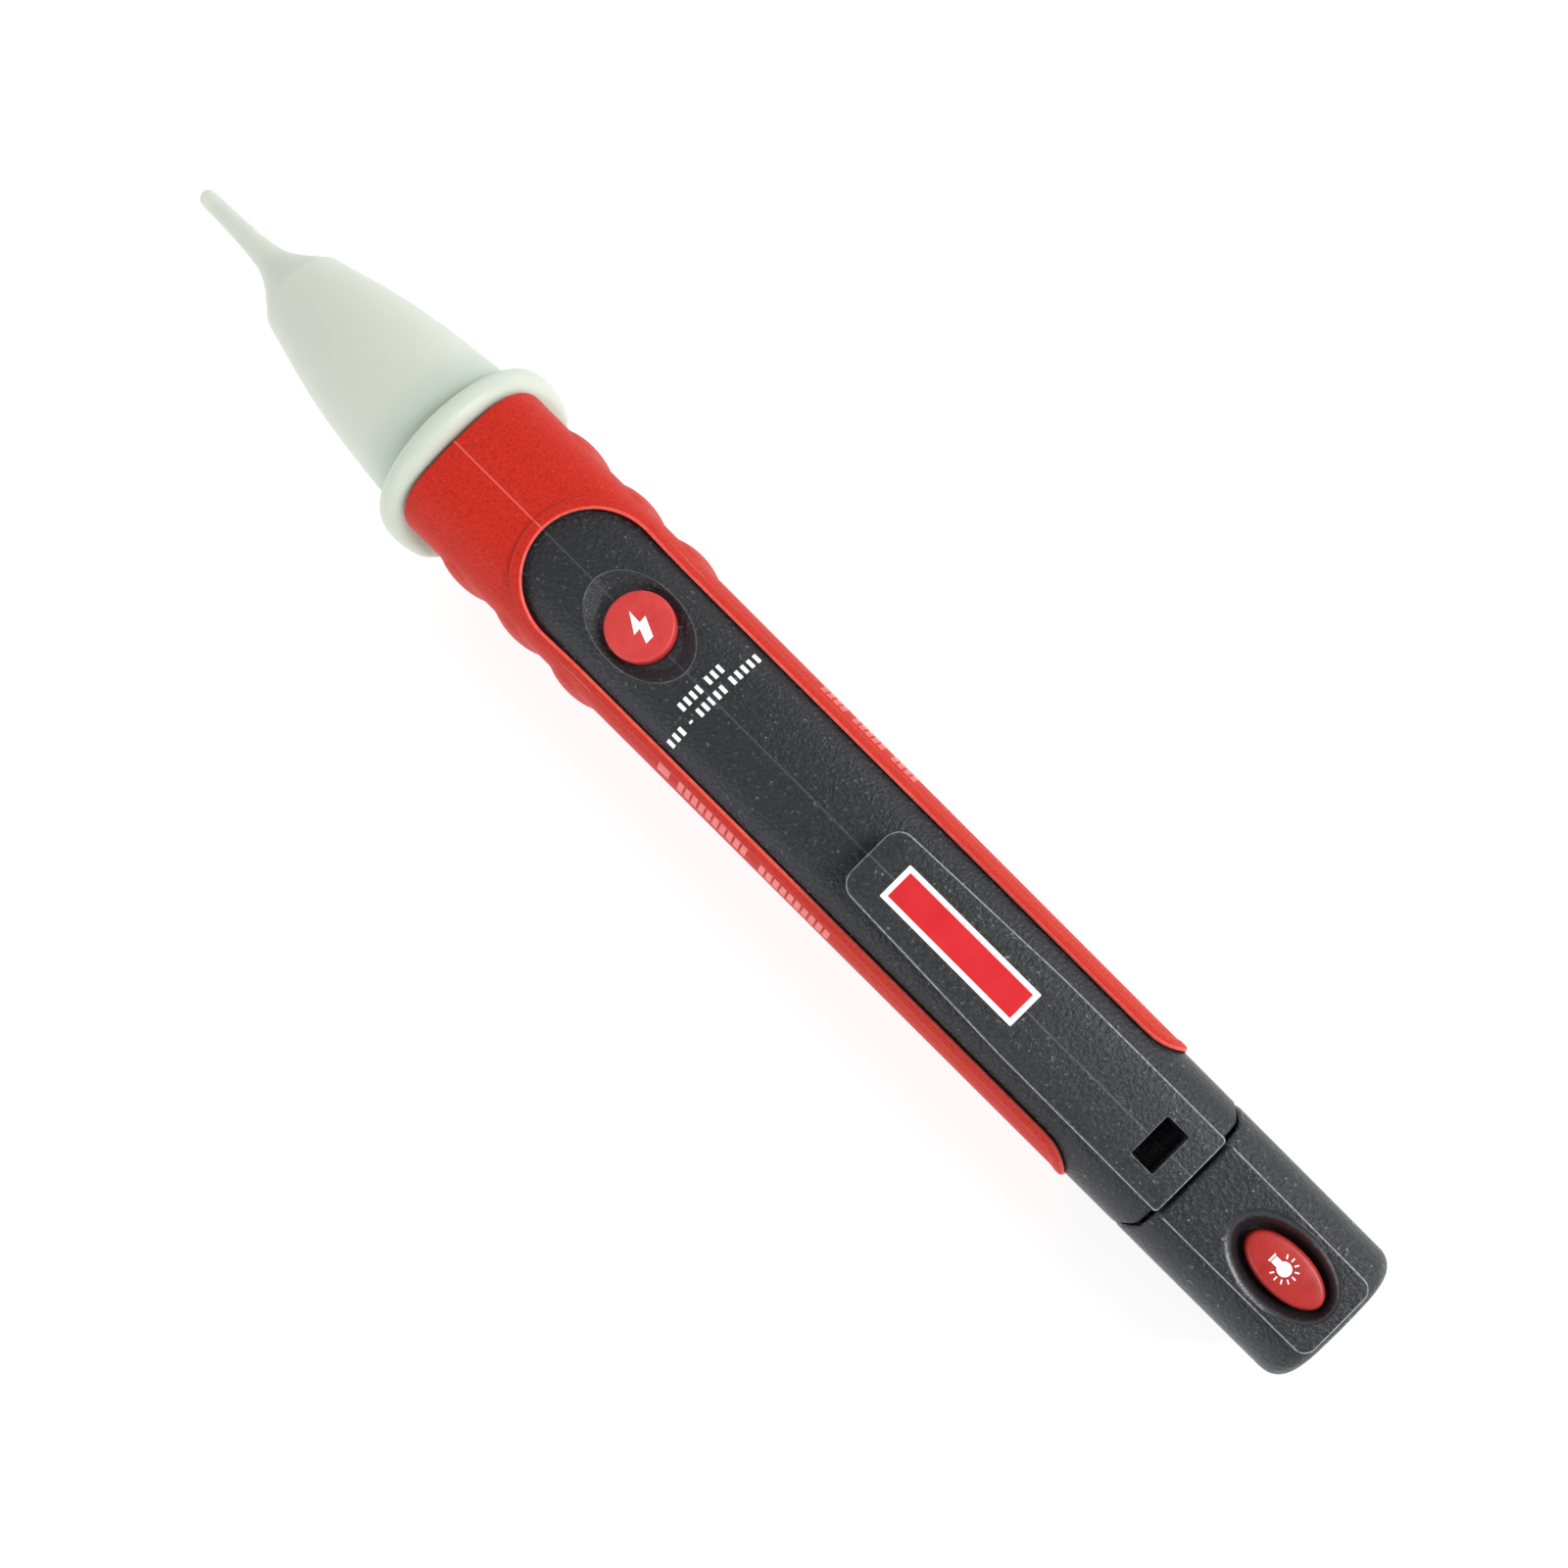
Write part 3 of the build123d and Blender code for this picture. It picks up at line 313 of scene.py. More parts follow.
def plate(loop, top, bottom, rounding, holes=(), spacing=0.6, floor_rounding=0.1, hole_rounding=0.12):
    """A closed slab inside a loop: top and bottom are heights as functions of x and y.

    The rim is rounded above and below. Each hole is a loop cut straight through. The third
    result lists the faces of the rounded upper edges.
    """
    verts, faces, rim_faces = [], [], []

    def ring(points, height):
        start = len(verts)
        verts.extend((x, y, z) for (x, y), z in zip(points, height))
        return np.arange(start, len(verts))

    def stitch(upper, lower, flip=False):
        for i in range(len(upper)):
            j = (i + 1) % len(upper)
            quad = (upper[i], lower[i], lower[j], upper[j])
            faces.append(tuple(int(v) for v in (quad[::-1] if flip else quad)))

    def round_rings(edge, height, radius, level):
        rings = []
        for a in np.linspace(0, math.pi / 2, 7):
            inner = offset_loop(edge, radius * (1 - math.cos(a)))
            rings.append(ring(inner, height(inner[:, 0], inner[:, 1]) - level * (1 - math.sin(a))))
        return rings

    def rounded_rim(edge, sign, flip, rounding):
        rings_top = round_rings(edge, top, sign * rounding, rounding)
        rings_low = round_rings(edge, bottom, sign * floor_rounding, -floor_rounding)
        for number, (upper, lower) in enumerate(zip(rings_top[1:], rings_top[:-1])):
            if number in (2, 3):
                rim_faces.extend(range(len(faces), len(faces) + len(upper)))
            stitch(upper, lower, flip)
        stitch(rings_top[0], rings_low[0], flip)
        for upper, lower in zip(rings_low[:-1], rings_low[1:]):
            stitch(upper, lower, flip)
        return rings_top[-1], rings_low[-1]

    rims = [rounded_rim(loop, 1, False, rounding)]
    rims += [rounded_rim(hole, -1, True, hole_rounding) for hole in holes]
    for level, height, flip in ((0, top, False), (1, bottom, True)):
        borders = [rim[level] for rim in rims]
        flat = [np.array([verts[i][:2] for i in border]) for border in borders]
        low, high = flat[0].min(0), flat[0].max(0)
        grid = np.stack(np.meshgrid(
            np.arange(low[0] + spacing / 2, high[0], spacing),
            np.arange(low[1] + spacing / 2, high[1], spacing),
        ), axis=-1).reshape(-1, 2)
        margin = spacing * 0.4
        keep = inside(grid, flat[0]) & off_outline(grid, flat[0], margin) & outside(grid, flat[1:], margin)
        grid = grid[keep]
        points = np.concatenate(flat + [grid])
        flat_points, triangles = triangulate(points, loop_lines(flat))
        centres = flat_points[triangles].mean(1)
        good = inside(centres, flat[0]) & outside(centres, flat[1:])
        index = list(np.concatenate(borders))
        base = len(verts)
        verts.extend((x, y, z) for (x, y), z in zip(grid, height(grid[:, 0], grid[:, 1])))
        index += list(range(base, len(verts)))
        for tri in triangles[good]:
            corners = tuple(int(index[v]) for v in tri)
            faces.append(corners[::-1] if flip else corners)
    return verts, faces, rim_faces


def lathe(profile, segments=160, centre=(0.0, AXIS_HEIGHT)):
    """A surface turned about the pen axis from (x, radius) points. Ends on the axis close to a point."""
    verts, faces, rings = [], [], []
    for x, radius in profile:
        if radius < 1e-6:
            rings.append([len(verts)] * segments)
            verts.append((x, centre[0], centre[1]))
            continue
        rings.append(list(range(len(verts), len(verts) + segments)))
        for k in range(segments):
            a = 2 * math.pi * k / segments
            verts.append((x, centre[0] + radius * math.sin(a), centre[1] + radius * math.cos(a)))
    for first, second in zip(rings[:-1], rings[1:]):
        for k in range(segments):
            m = (k + 1) % segments
            quad = tuple(dict.fromkeys((first[k], second[k], second[m], first[m])))
            if len(quad) > 2:
                faces.append(quad)
    return verts, faces


def fair_curve(points, per_span=10):
    """A smooth curve through points, by Catmull-Rom spans."""
    p = [np.array(q, float) for q in points]
    p = [2 * p[0] - p[1]] + p + [2 * p[-1] - p[-2]]
    out = []
    for a, b, c, d in zip(p[:-3], p[1:-2], p[2:-1], p[3:]):
        for t in np.linspace(0, 1, per_span, endpoint=False):
            out.append(0.5 * (2 * b + (c - a) * t + (2 * a - 5 * b + 4 * c - d) * t * t
                              + (3 * b - a - 3 * c + d) * t ** 3))
    return out + [p[-2]]


def solidify(obj, thickness):
    """Give a shell its wall, inwards from its outer face, and keep it in the mesh."""
    modifier = obj.modifiers.new("wall", "SOLIDIFY")
    modifier.thickness = thickness * MM
    modifier.offset = -1
    modifier.use_even_offset = False
    depsgraph = bpy.context.evaluated_depsgraph_get()
    mesh = bpy.data.meshes.new_from_object(obj.evaluated_get(depsgraph))
    obj.modifiers.clear()
    obj.data = mesh
    mesh.set_sharp_from_angle(angle=math.radians(SMOOTH_ANGLE))
    return obj


# -------------------- materials

def nodes_of(name):
    """A new node material and its parts."""
    material = bpy.data.materials.new(name)
    material.use_nodes = True
    tree = material.node_tree
    shader = tree.nodes["Principled BSDF"]
    return material, tree, shader


def set_inputs(node, values):
    """Set a node's inputs from a dictionary of names and values."""
    for name, value in values.items():
        node.inputs[name].default_value = value


def noise(tree, place, scale, detail=2.0, roughness=0.5):
    """A noise texture in object coordinates; scale is features per metre."""
    node = tree.nodes.new("ShaderNodeTexNoise")
    set_inputs(node, {"Scale": scale, "Detail": detail, "Roughness": roughness})
    tree.links.new(place, node.inputs["Vector"])
    return node


def ramp(tree, value, stops):
    """A colour ramp over value, from (position, colour) stops."""
    node = tree.nodes.new("ShaderNodeValToRGB")
    elements = node.color_ramp.elements
    while len(elements) < len(stops):
        elements.new(0.5)
    for element, (position, colour) in zip(elements, stops):
        element.position = position
        element.color = (*colour, 1)
    tree.links.new(value, node.inputs["Fac"])
    return node.outputs["Color"]


def bump(tree, shader, texture, depth):
    """Let a texture shape the shader's surface, that many millimetres deep."""
    node = tree.nodes.new("ShaderNodeBump")
    node.inputs["Distance"].default_value = depth * MM
    tree.links.new(texture.outputs["Fac"], node.inputs["Height"])
    tree.links.new(node.outputs["Normal"], shader.inputs["Normal"])


def object_place(tree):
    """Object coordinates, which move with the piece."""
    return tree.nodes.new("ShaderNodeTexCoord").outputs["Object"]


def parting_line_highlight(tree, place, colour, line):
    """A colour with a thin lighter line along the middle of the handle, a painted highlight along the
    parting-line ridge.
    """
    split = tree.nodes.new("ShaderNodeSeparateXYZ")
    tree.links.new(place, split.inputs[0])
    away = tree.nodes.new("ShaderNodeMath")
    away.operation = "ABSOLUTE"
    tree.links.new(split.outputs["Y"], away.inputs[0])
    near = tree.nodes.new("ShaderNodeMapRange")
    set_inputs(near, {"From Min": 0.13 * MM, "From Max": 0.05 * MM, "To Max": 0.75})
    tree.links.new(away.outputs[0], near.inputs["Value"])
    mix = tree.nodes.new("ShaderNodeMix")
    mix.data_type = "RGBA"
    tree.links.new(near.outputs["Result"], mix.inputs["Factor"])
    tree.links.new(colour, mix.inputs["A"])
    mix.inputs["B"].default_value = (*line, 1)
    return mix.outputs["Result"]


def grained_plastic(name, dark, mid, glint_fleck, grain, depth, roughness, specular=0.5, sheen=0.0, line=None):
    """Moulded plastic with a leather-like grain, as grains per metre and depth in millimetres.

    Hollows of the grain are painted darker as painted shade and its crests carry lighter flecks as painted
    glints.
    """
    material, tree, shader = nodes_of(name)
    place = object_place(tree)
    grains = noise(tree, place, grain, 3, 0.62)
    bump(tree, shader, grains, depth)
    # painted shade in the grain's hollows, painted glints on its crests
    colour = ramp(tree, grains.outputs["Fac"], ((0.36, dark), (0.52, mid), (0.64, mid), (0.74, glint_fleck)))
    # line is a painted highlight along the parting-line ridge
    if line:
        colour = parting_line_highlight(tree, place, colour, line)
    tree.links.new(colour, shader.inputs["Base Color"])
    set_inputs(shader, {"Roughness": roughness, "Specular IOR Level": specular,
                        "Sheen Weight": sheen, "Sheen Roughness": 0.35})
    return material


def plain_procedural(name, low, high, scale, roughness, metallic=0.0, depth=0.004, grain=4000, specular=0.5):
    """A finish with a slight tone change and a fine surface."""
    material, tree, shader = nodes_of(name)
    place = object_place(tree)
    tone = noise(tree, place, scale, 3, 0.55)
    tree.links.new(ramp(tree, tone.outputs["Fac"], ((0.3, low), (0.7, high))), shader.inputs["Base Color"])
    bump(tree, shader, noise(tree, place, grain, 2, 0.5), depth)
    set_inputs(shader, {"Roughness": roughness, "Metallic": metallic, "Specular IOR Level": specular})
    return material


def translucent_tip():
    """Pale green-white translucent moulding, with a painted shade band, darker and greener, on the cone just
    ahead of the collar.
    """
    material, tree, shader = nodes_of("tip_translucent")
    place = object_place(tree)
    split = tree.nodes.new("ShaderNodeSeparateXYZ")
    tree.links.new(place, split.inputs[0])
    along = tree.nodes.new("ShaderNodeMapRange")
    set_inputs(along, {"From Min": 44.0 * MM, "From Max": 50.0 * MM})
    tree.links.new(split.outputs["X"], along.inputs["Value"])
    # painted shade: darker, greener band on the cone just in front of the collar, lighter further forward
    colour = ramp(tree, along.outputs["Result"], (
        (0.0, (0.54, 0.59, 0.51)), (0.02, (0.40, 0.49, 0.40)),
        (0.45, (0.50, 0.56, 0.49)), (1.0, (0.57, 0.605, 0.53)),
    ))
    tree.links.new(colour, shader.inputs["Base Color"])
    bump(tree, shader, noise(tree, place, 2600, 3, 0.6), 0.012)
    set_inputs(shader, {"Roughness": 0.45, "Subsurface Weight": 0.6, "Subsurface Radius": (0.9, 1.0, 0.85),
                        "Subsurface Scale": 0.003})
    return material


TIP = translucent_tip()
# the last colour of RED, PANEL and CLIP is a painted highlight along the parting-line ridge
RED = grained_plastic(
    "red_rubber", (0.41, 0.013, 0.006), (0.52, 0.023, 0.011), (0.68, 0.06, 0.04), 3600, 0.05, 0.5, 0.16,
    line=(0.72, 0.14, 0.11))
# painted highlight: lighter red for thin lines along the lip's edges
RED_LIP_HIGHLIGHT = plain_procedural("red_lip_highlight", (0.64, 0.062, 0.045), (0.74, 0.11, 0.085), 1500, 0.4, specular=0.3)
PANEL = grained_plastic(
    "barrel_grain", (0.009, 0.010, 0.012), (0.015, 0.016, 0.019), (0.16, 0.165, 0.18), 2400, 0.20, 0.36, 0.40,
    0.08, (0.06, 0.062, 0.07))
CLIP = grained_plastic(
    "clip_grain", (0.010, 0.011, 0.013), (0.022, 0.023, 0.026), (0.22, 0.225, 0.24), 2200, 0.22, 0.38, 0.42,
    0.08, (0.09, 0.092, 0.10))
CAP = grained_plastic(
    "cap_grain", (0.008, 0.009, 0.011), (0.013, 0.014, 0.017), (0.24, 0.245, 0.26), 2000, 0.28, 0.36, 0.42,
    0.04)
WELL = grained_plastic(
    "well_lip", (0.010, 0.011, 0.013), (0.016, 0.017, 0.020), (0.09, 0.092, 0.10), 2600, 0.05, 0.28, 0.6,
    0.05)
# painted highlight: lighter grey for the thin line along the dish's rim
DISH_RIM_HIGHLIGHT = plain_procedural("dish_rim_highlight", (0.06, 0.062, 0.07), (0.13, 0.133, 0.145), 700, 0.28)
# painted highlight: lighter grey for bright lines along rounded edges of the clip and the cap's pad
EDGE_HIGHLIGHT = plain_procedural("edge_highlight", (0.10, 0.103, 0.11), (0.36, 0.365, 0.375), 2500, 0.30)
BUTTON = plain_procedural(
    "button_red", (0.52, 0.036, 0.034), (0.60, 0.055, 0.050), 500, 0.42, depth=0.010, grain=2500,
    specular=0.3)
BUTTON_DARK = plain_procedural(
    "button_dark_red", (0.34, 0.018, 0.015), (0.44, 0.030, 0.025), 500, 0.36, depth=0.010, grain=2500,
    specular=0.35)
INK = plain_procedural("ink_white", (0.80, 0.80, 0.79), (0.88, 0.88, 0.87), 400, 0.5)
INK_RED = plain_procedural("ink_red", (0.60, 0.018, 0.025), (0.66, 0.026, 0.034), 300, 0.42, specular=0.2)
INK_PINK = plain_procedural("ink_pink", (0.68, 0.16, 0.15), (0.76, 0.22, 0.20), 300, 0.5, specular=0.2)
BOARD = plain_procedural("board_green", (0.015, 0.13, 0.05), (0.02, 0.17, 0.07), 700, 0.35)
CHIP = plain_procedural("chip_black", (0.014, 0.014, 0.016), (0.022, 0.022, 0.024), 500, 0.5)
METAL = plain_procedural("contact_steel", (0.62, 0.61, 0.58), (0.74, 0.73, 0.70), 500, 0.26, 1.0)
COPPER = plain_procedural("wire_copper", (0.70, 0.36, 0.20), (0.80, 0.45, 0.26), 500, 0.3, 1.0)
LED = plain_procedural("led_red", (0.55, 0.02, 0.02), (0.62, 0.03, 0.03), 200, 0.12)
WHITE = plain_procedural("white_plastic", (0.76, 0.76, 0.74), (0.83, 0.83, 0.81), 200, 0.35)
LENS = plain_procedural("lens_clear", (0.70, 0.74, 0.76), (0.78, 0.81, 0.83), 200, 0.06)
SLEEVE = plain_procedural("cell_sleeve", (0.03, 0.035, 0.045), (0.045, 0.05, 0.06), 200, 0.24)


# -------------------- nose and collar

def swept(verts, weight):
    """Points moved back by the curve of the joint behind the collar, times a weight for each."""
    drop = np.clip(GRIP_HIGH[2] - verts[:, 2], 0, SWEEP_DROP)
    verts[:, 0] -= weight * SWEEP * drop ** 2
    return verts


def make_tip():
    """Thin feeler, shoulder, cone, rounded collar and the spigot behind it."""
    tip, spigot_rear, end_radius, fillet = TIP_HIGH[0], TIP_LOW[0], 1.13, 0.35
    collar_front = COLLAR_REAR + COLLAR_LENGTH
    crown = COLLAR_RADIUS - COLLAR_ROUNDING
    nose = arc_points(tip - end_radius, 0.0, end_radius, 0, 90, 10)
    feeler = fair_curve([
        (tip - 2.0, 1.14), (tip - 4.0, 1.16), (tip - 5.9, 1.24), (tip - 8.85, 1.41), (tip - 10.3, 1.575),
        (tip - 11.8, 1.82), (tip - 13.2, 2.32), (tip - 14.7, 3.14), (tip - 16.1, 4.14), (tip - 17.5, 5.15),
    ], 6)
    shoulder = [(tip - 17.72, 5.31), (tip - 17.9, 5.41), (tip - 18.1, 5.48)]
    cone = fair_curve([
        (tip - 18.4, 5.56), (tip - 19.0, 5.71), (tip - 21.9, 6.43), (tip - 24.8, 7.15), (tip - 29.0, 8.05),
        (tip - 33.3, 8.70), (tip - 36.1, 9.04), (tip - 40.3, 9.46), (tip - 43.3, 9.70),
    ], 8)
    base = arc_points(collar_front + fillet, 9.75 + fillet, fillet, -101.459, -180, 5)
    front = arc_points(collar_front - COLLAR_ROUNDING, crown, COLLAR_ROUNDING, 0, 90, 12)
    rear = arc_points(COLLAR_REAR + COLLAR_ROUNDING, crown, COLLAR_ROUNDING, 90, 180, 12)
    spigot = [(COLLAR_REAR, 8.0), (COLLAR_REAR, 7.5), (spigot_rear, 7.45), (spigot_rear, 6.2)]
    bore = [(42.0, 6.2), (44.5, 8.0), (57.5, 6.8), (69.5, 3.6), (74.5, 0.5), (85.5, 0.5), (85.5, 0.0)]
    profile = nose + feeler + shoulder + cone + base + front + rear + spigot + bore
    verts, faces = lathe(profile)
    verts = np.array(verts)
    soft = 0.25  # the height over the floor below which the collar's underside turns flat
    low = verts[:, 2] < soft
    verts[low, 2] = soft * np.exp(np.clip(verts[low, 2] / soft - 1, -8, 0))
    reach = np.hypot(verts[:, 1], verts[:, 2] - AXIS_HEIGHT)
    weight = np.clip((collar_front - verts[:, 0]) / COLLAR_LENGTH, 0, 1)
    weight[(reach < 7.7) | (verts[:, 0] < COLLAR_REAR - 1)] = 0
    build("nose_and_collar", swept(verts, weight), faces, TIP, "barrel", ["sensor_tip"], 30)


# -------------------- overmould and barrel skin

def panel_boundary():
    """The line between panel and overmould, as (x, arc length), from the rear right round the front."""
    start = arc_at(GRIP_REAR, PANEL_REAR_HALF)
    right = [(GRIP_REAR + STRIP_END_LENGTH * (1 - math.cos(a)), start + STRIP_END_REACH * (1 - math.sin(a)))
             for a in np.linspace(0, math.pi / 2, 22)]
    front_centre = PANEL_FRONT - PANEL_FRONT_HALF
    rear_x = GRIP_REAR + STRIP_END_LENGTH
    for x in np.arange(rear_x + 0.5, front_centre - 0.2, 0.5):
        t = (x - rear_x) / (front_centre - rear_x)
        right.append((x, arc_at(x, PANEL_REAR_HALF + t * (PANEL_FRONT_HALF - PANEL_REAR_HALF))))
    for a in np.linspace(0, math.pi / 2, 48):
        x = front_centre + PANEL_FRONT_HALF * math.sin(a)
        right.append((x, arc_at(x, max(PANEL_FRONT_HALF * math.cos(a), 0.0))))
    right = np.round(np.array(right), 3)
    return np.concatenate([right, right[-2::-1] * (1, -1)])


BOUNDARY = panel_boundary()


def offset_line(line, distance):
    """An open line moved sideways by distance."""
    ahead = np.gradient(line, axis=0)
    ahead /= np.linalg.norm(ahead, axis=1)[:, None]
    return line + np.stack([-ahead[:, 1], ahead[:, 0]], axis=1) * distance


def seam_columns(step):
    """Arc lengths all round the handle, both seams at the belly included."""
    return np.linspace(-HALF_GIRTH, HALF_GIRTH, 2 * int(HALF_GIRTH / step) + 1)


def domain_grid(stations, step):
    """Points of (x, arc length) on a regular grid."""
    return np.stack(np.meshgrid(stations, seam_columns(step)), axis=-1).reshape(-1, 2)


def shell(name, points, lines, keep, height, material, body, node, wall, edge=None, front_weight=None):
    """A piece of the handle's skin from flat (x, arc length) points, lifted by height and given a wall.

    edge is a second material and a test that picks its faces from their flat centres.
    """
    flat, triangles = triangulate(points, lines)
    triangles = triangles[keep(flat[triangles].mean(1))]
    chosen = edge[1](flat[triangles].mean(1)) if edge else np.zeros(len(triangles), bool)
    verts = handle_point(flat[:, 0], flat[:, 1], height(flat))
    if front_weight is not None:
        verts = swept(verts, front_weight(flat[:, 0]))
    else:
        verts[:, 0] += seam_curve(flat[:, 0], flat[:, 1], BARREL_REAR)
    used, new = np.unique(triangles, return_inverse=True)
    verts, triangles = verts[used], new.reshape(-1, 3)
    # the two seams at the belly meet, so equal points become one
    _, first, back = np.unique(np.round(verts, 4), axis=0, return_index=True, return_inverse=True)
    triangles = back.reshape(-1)[triangles]
    whole = np.array([len(set(t)) == 3 for t in triangles])
    faces = [tuple(int(v) for v in t) for t in triangles[whole]]
    picked = (edge[0], np.flatnonzero(chosen[whole])) if edge else None
    obj = build(name, verts[first], faces, material, body, node, edge=picked)
    return solidify(obj, wall)


def ridge(s, height=0.06, width=0.1):
    """The thin raised parting line along the crown."""
    return height * np.exp(-(s / width) ** 2)


def bump_field(x, s):
    """Height of the finger bumps over the overmould."""
    base = handle_point(x, s)
    total = np.zeros(len(x))
    for station in BUMP_STATIONS:
        tall = (base[:, 2] - AXIS_HEIGHT - 0.6) / BUMP_HALF_TALL
        reach = ((x - station) / BUMP_HALF_LENGTH) ** 2 + tall ** 2
        total += BUMP_HEIGHT * np.clip(1 - reach, 0, None) ** 0.85
    return total


def seam_curve(x, s, seam, reach=3.0, depth=1.3):
    """How far the joint between barrel and cap lies forward on the flanks, fading over reach."""
    flank = np.abs(handle_point(x, s)[:, 1]) / HALF_WIDTH_AT_MIDDLE
    return depth * smooth((flank - 0.74) / 0.24) * np.clip(1 - np.abs(x - seam) / reach, 0, 1)


def edge_fall(distance, radius):
    """How far a rounded edge falls at a distance from the edge."""
    t = np.clip(1 - distance / radius, 0, 1)
    return radius * (1 - np.sqrt(np.clip(1 - t * t, 0, 1)))


def crown_rows(low, high):
    """Close rows of points along the parting line."""
    return [(x, s) for x in np.arange(low, high, 0.4) for s in (-0.22, -0.1, 0.0, 0.1, 0.22)]


def make_grip():
    """Red overmould: three bumps a side, a raised lip round the panel with painted highlights along its
    edges, and a parting line.
    """
    sweep_start = 33.0
    lip_rows = (0.08, 0.2, 0.35, 0.55, 0.75, 0.9, 1.05, 1.2, 1.35, 1.5, 1.75, 2.0)
    stations = np.concatenate([np.arange(GRIP_REAR + 1.0, 6.0, 0.7), np.arange(6.0, GRIP_FRONT - 0.8, 0.38)])
    grid = domain_grid(stations, 0.4)
    grid = grid[distance_to(grid, BOUNDARY) > 2.2]
    rows = [offset_line(BOUNDARY, d) for d in lip_rows]
    rows = [row[(row[:, 0] > GRIP_REAR + 0.04) & (distance_to(row, BOUNDARY) > d * 0.93)]
            for row, d in zip(rows, lip_rows)]
    ends = [(x, s) for d in (0.0, 0.06, 0.14, 0.26, 0.42, 0.62) for x in (GRIP_FRONT - d, GRIP_REAR + d)
            for s in seam_columns(0.4)]
    crown = crown_rows(PANEL_FRONT + 2.2, GRIP_FRONT - 0.7)
    loose = np.concatenate([ends, crown, grid, *rows])
    loose = np.unique(np.round(loose, 3), axis=0)
    loose = loose[distance_to(loose, BOUNDARY) > 0.05]
    points = np.concatenate([BOUNDARY, loose])

    def height(p):
        x, s = p[:, 0], p[:, 1]
        edge = distance_to(p, BOUNDARY)
        along_front = smooth((x - 12) / 12)
        lip = LIP_HEIGHT * (0.25 + 0.75 * along_front) * (1 - smooth((edge - LIP_WIDTH + 0.2) / 0.4))
        total = bump_field(x, s) * smooth((edge - 1.0) / 1.0) + lip
        total += np.where(edge > 1.3, ridge(s), 0)
        total -= edge_fall(edge, 0.3)
        total -= edge_fall(GRIP_FRONT - x, 0.45)
        total -= edge_fall(x - GRIP_REAR, 0.5)
        return total

    # faces painted lighter red as a highlight: the lip's outer step at the front, and the edge next to the
    # panel
    def on_lip_highlight(c):
        edge = distance_to(c, BOUNDARY)
        return ((edge > 1.19) & (edge < 1.36) & (c[:, 0] > 11)) | (edge < 0.2)

    shell("overmould", points, [list(range(len(BOUNDARY)))], lambda c: ~inside(c, BOUNDARY),
          height, RED, "barrel", ["grip_overmould"], 1.1, edge=(RED_LIP_HIGHLIGHT, on_lip_highlight),
          front_weight=lambda x: smooth((x - sweep_start) / (GRIP_FRONT - sweep_start)))


def on_skin(loop):
    """A loop in plan, carried to (x, arc length)."""
    return np.array([(x, arc_at(x, y)) for x, y in loop])


def button_hole(radius, count):
    """A round hole about the range button, as (x, arc length)."""
    return on_skin(ellipse(BUTTON_X, 0, radius, radius, count))


def latch_slot(along, across):
    """The latch window's outline on the skin, larger than the clip's window by along and across."""
    return rounded_box(WINDOW_REAR - along, WINDOW_FRONT + along, WINDOW_HALF + across, 0.2)


def dish_reach(x, across):
    """How far out a place lies in the button's dish, 1 at its rim."""
    return np.hypot((x - DISH_X) / DISH_HALF_LENGTH, across / DISH_HALF_WIDTH)


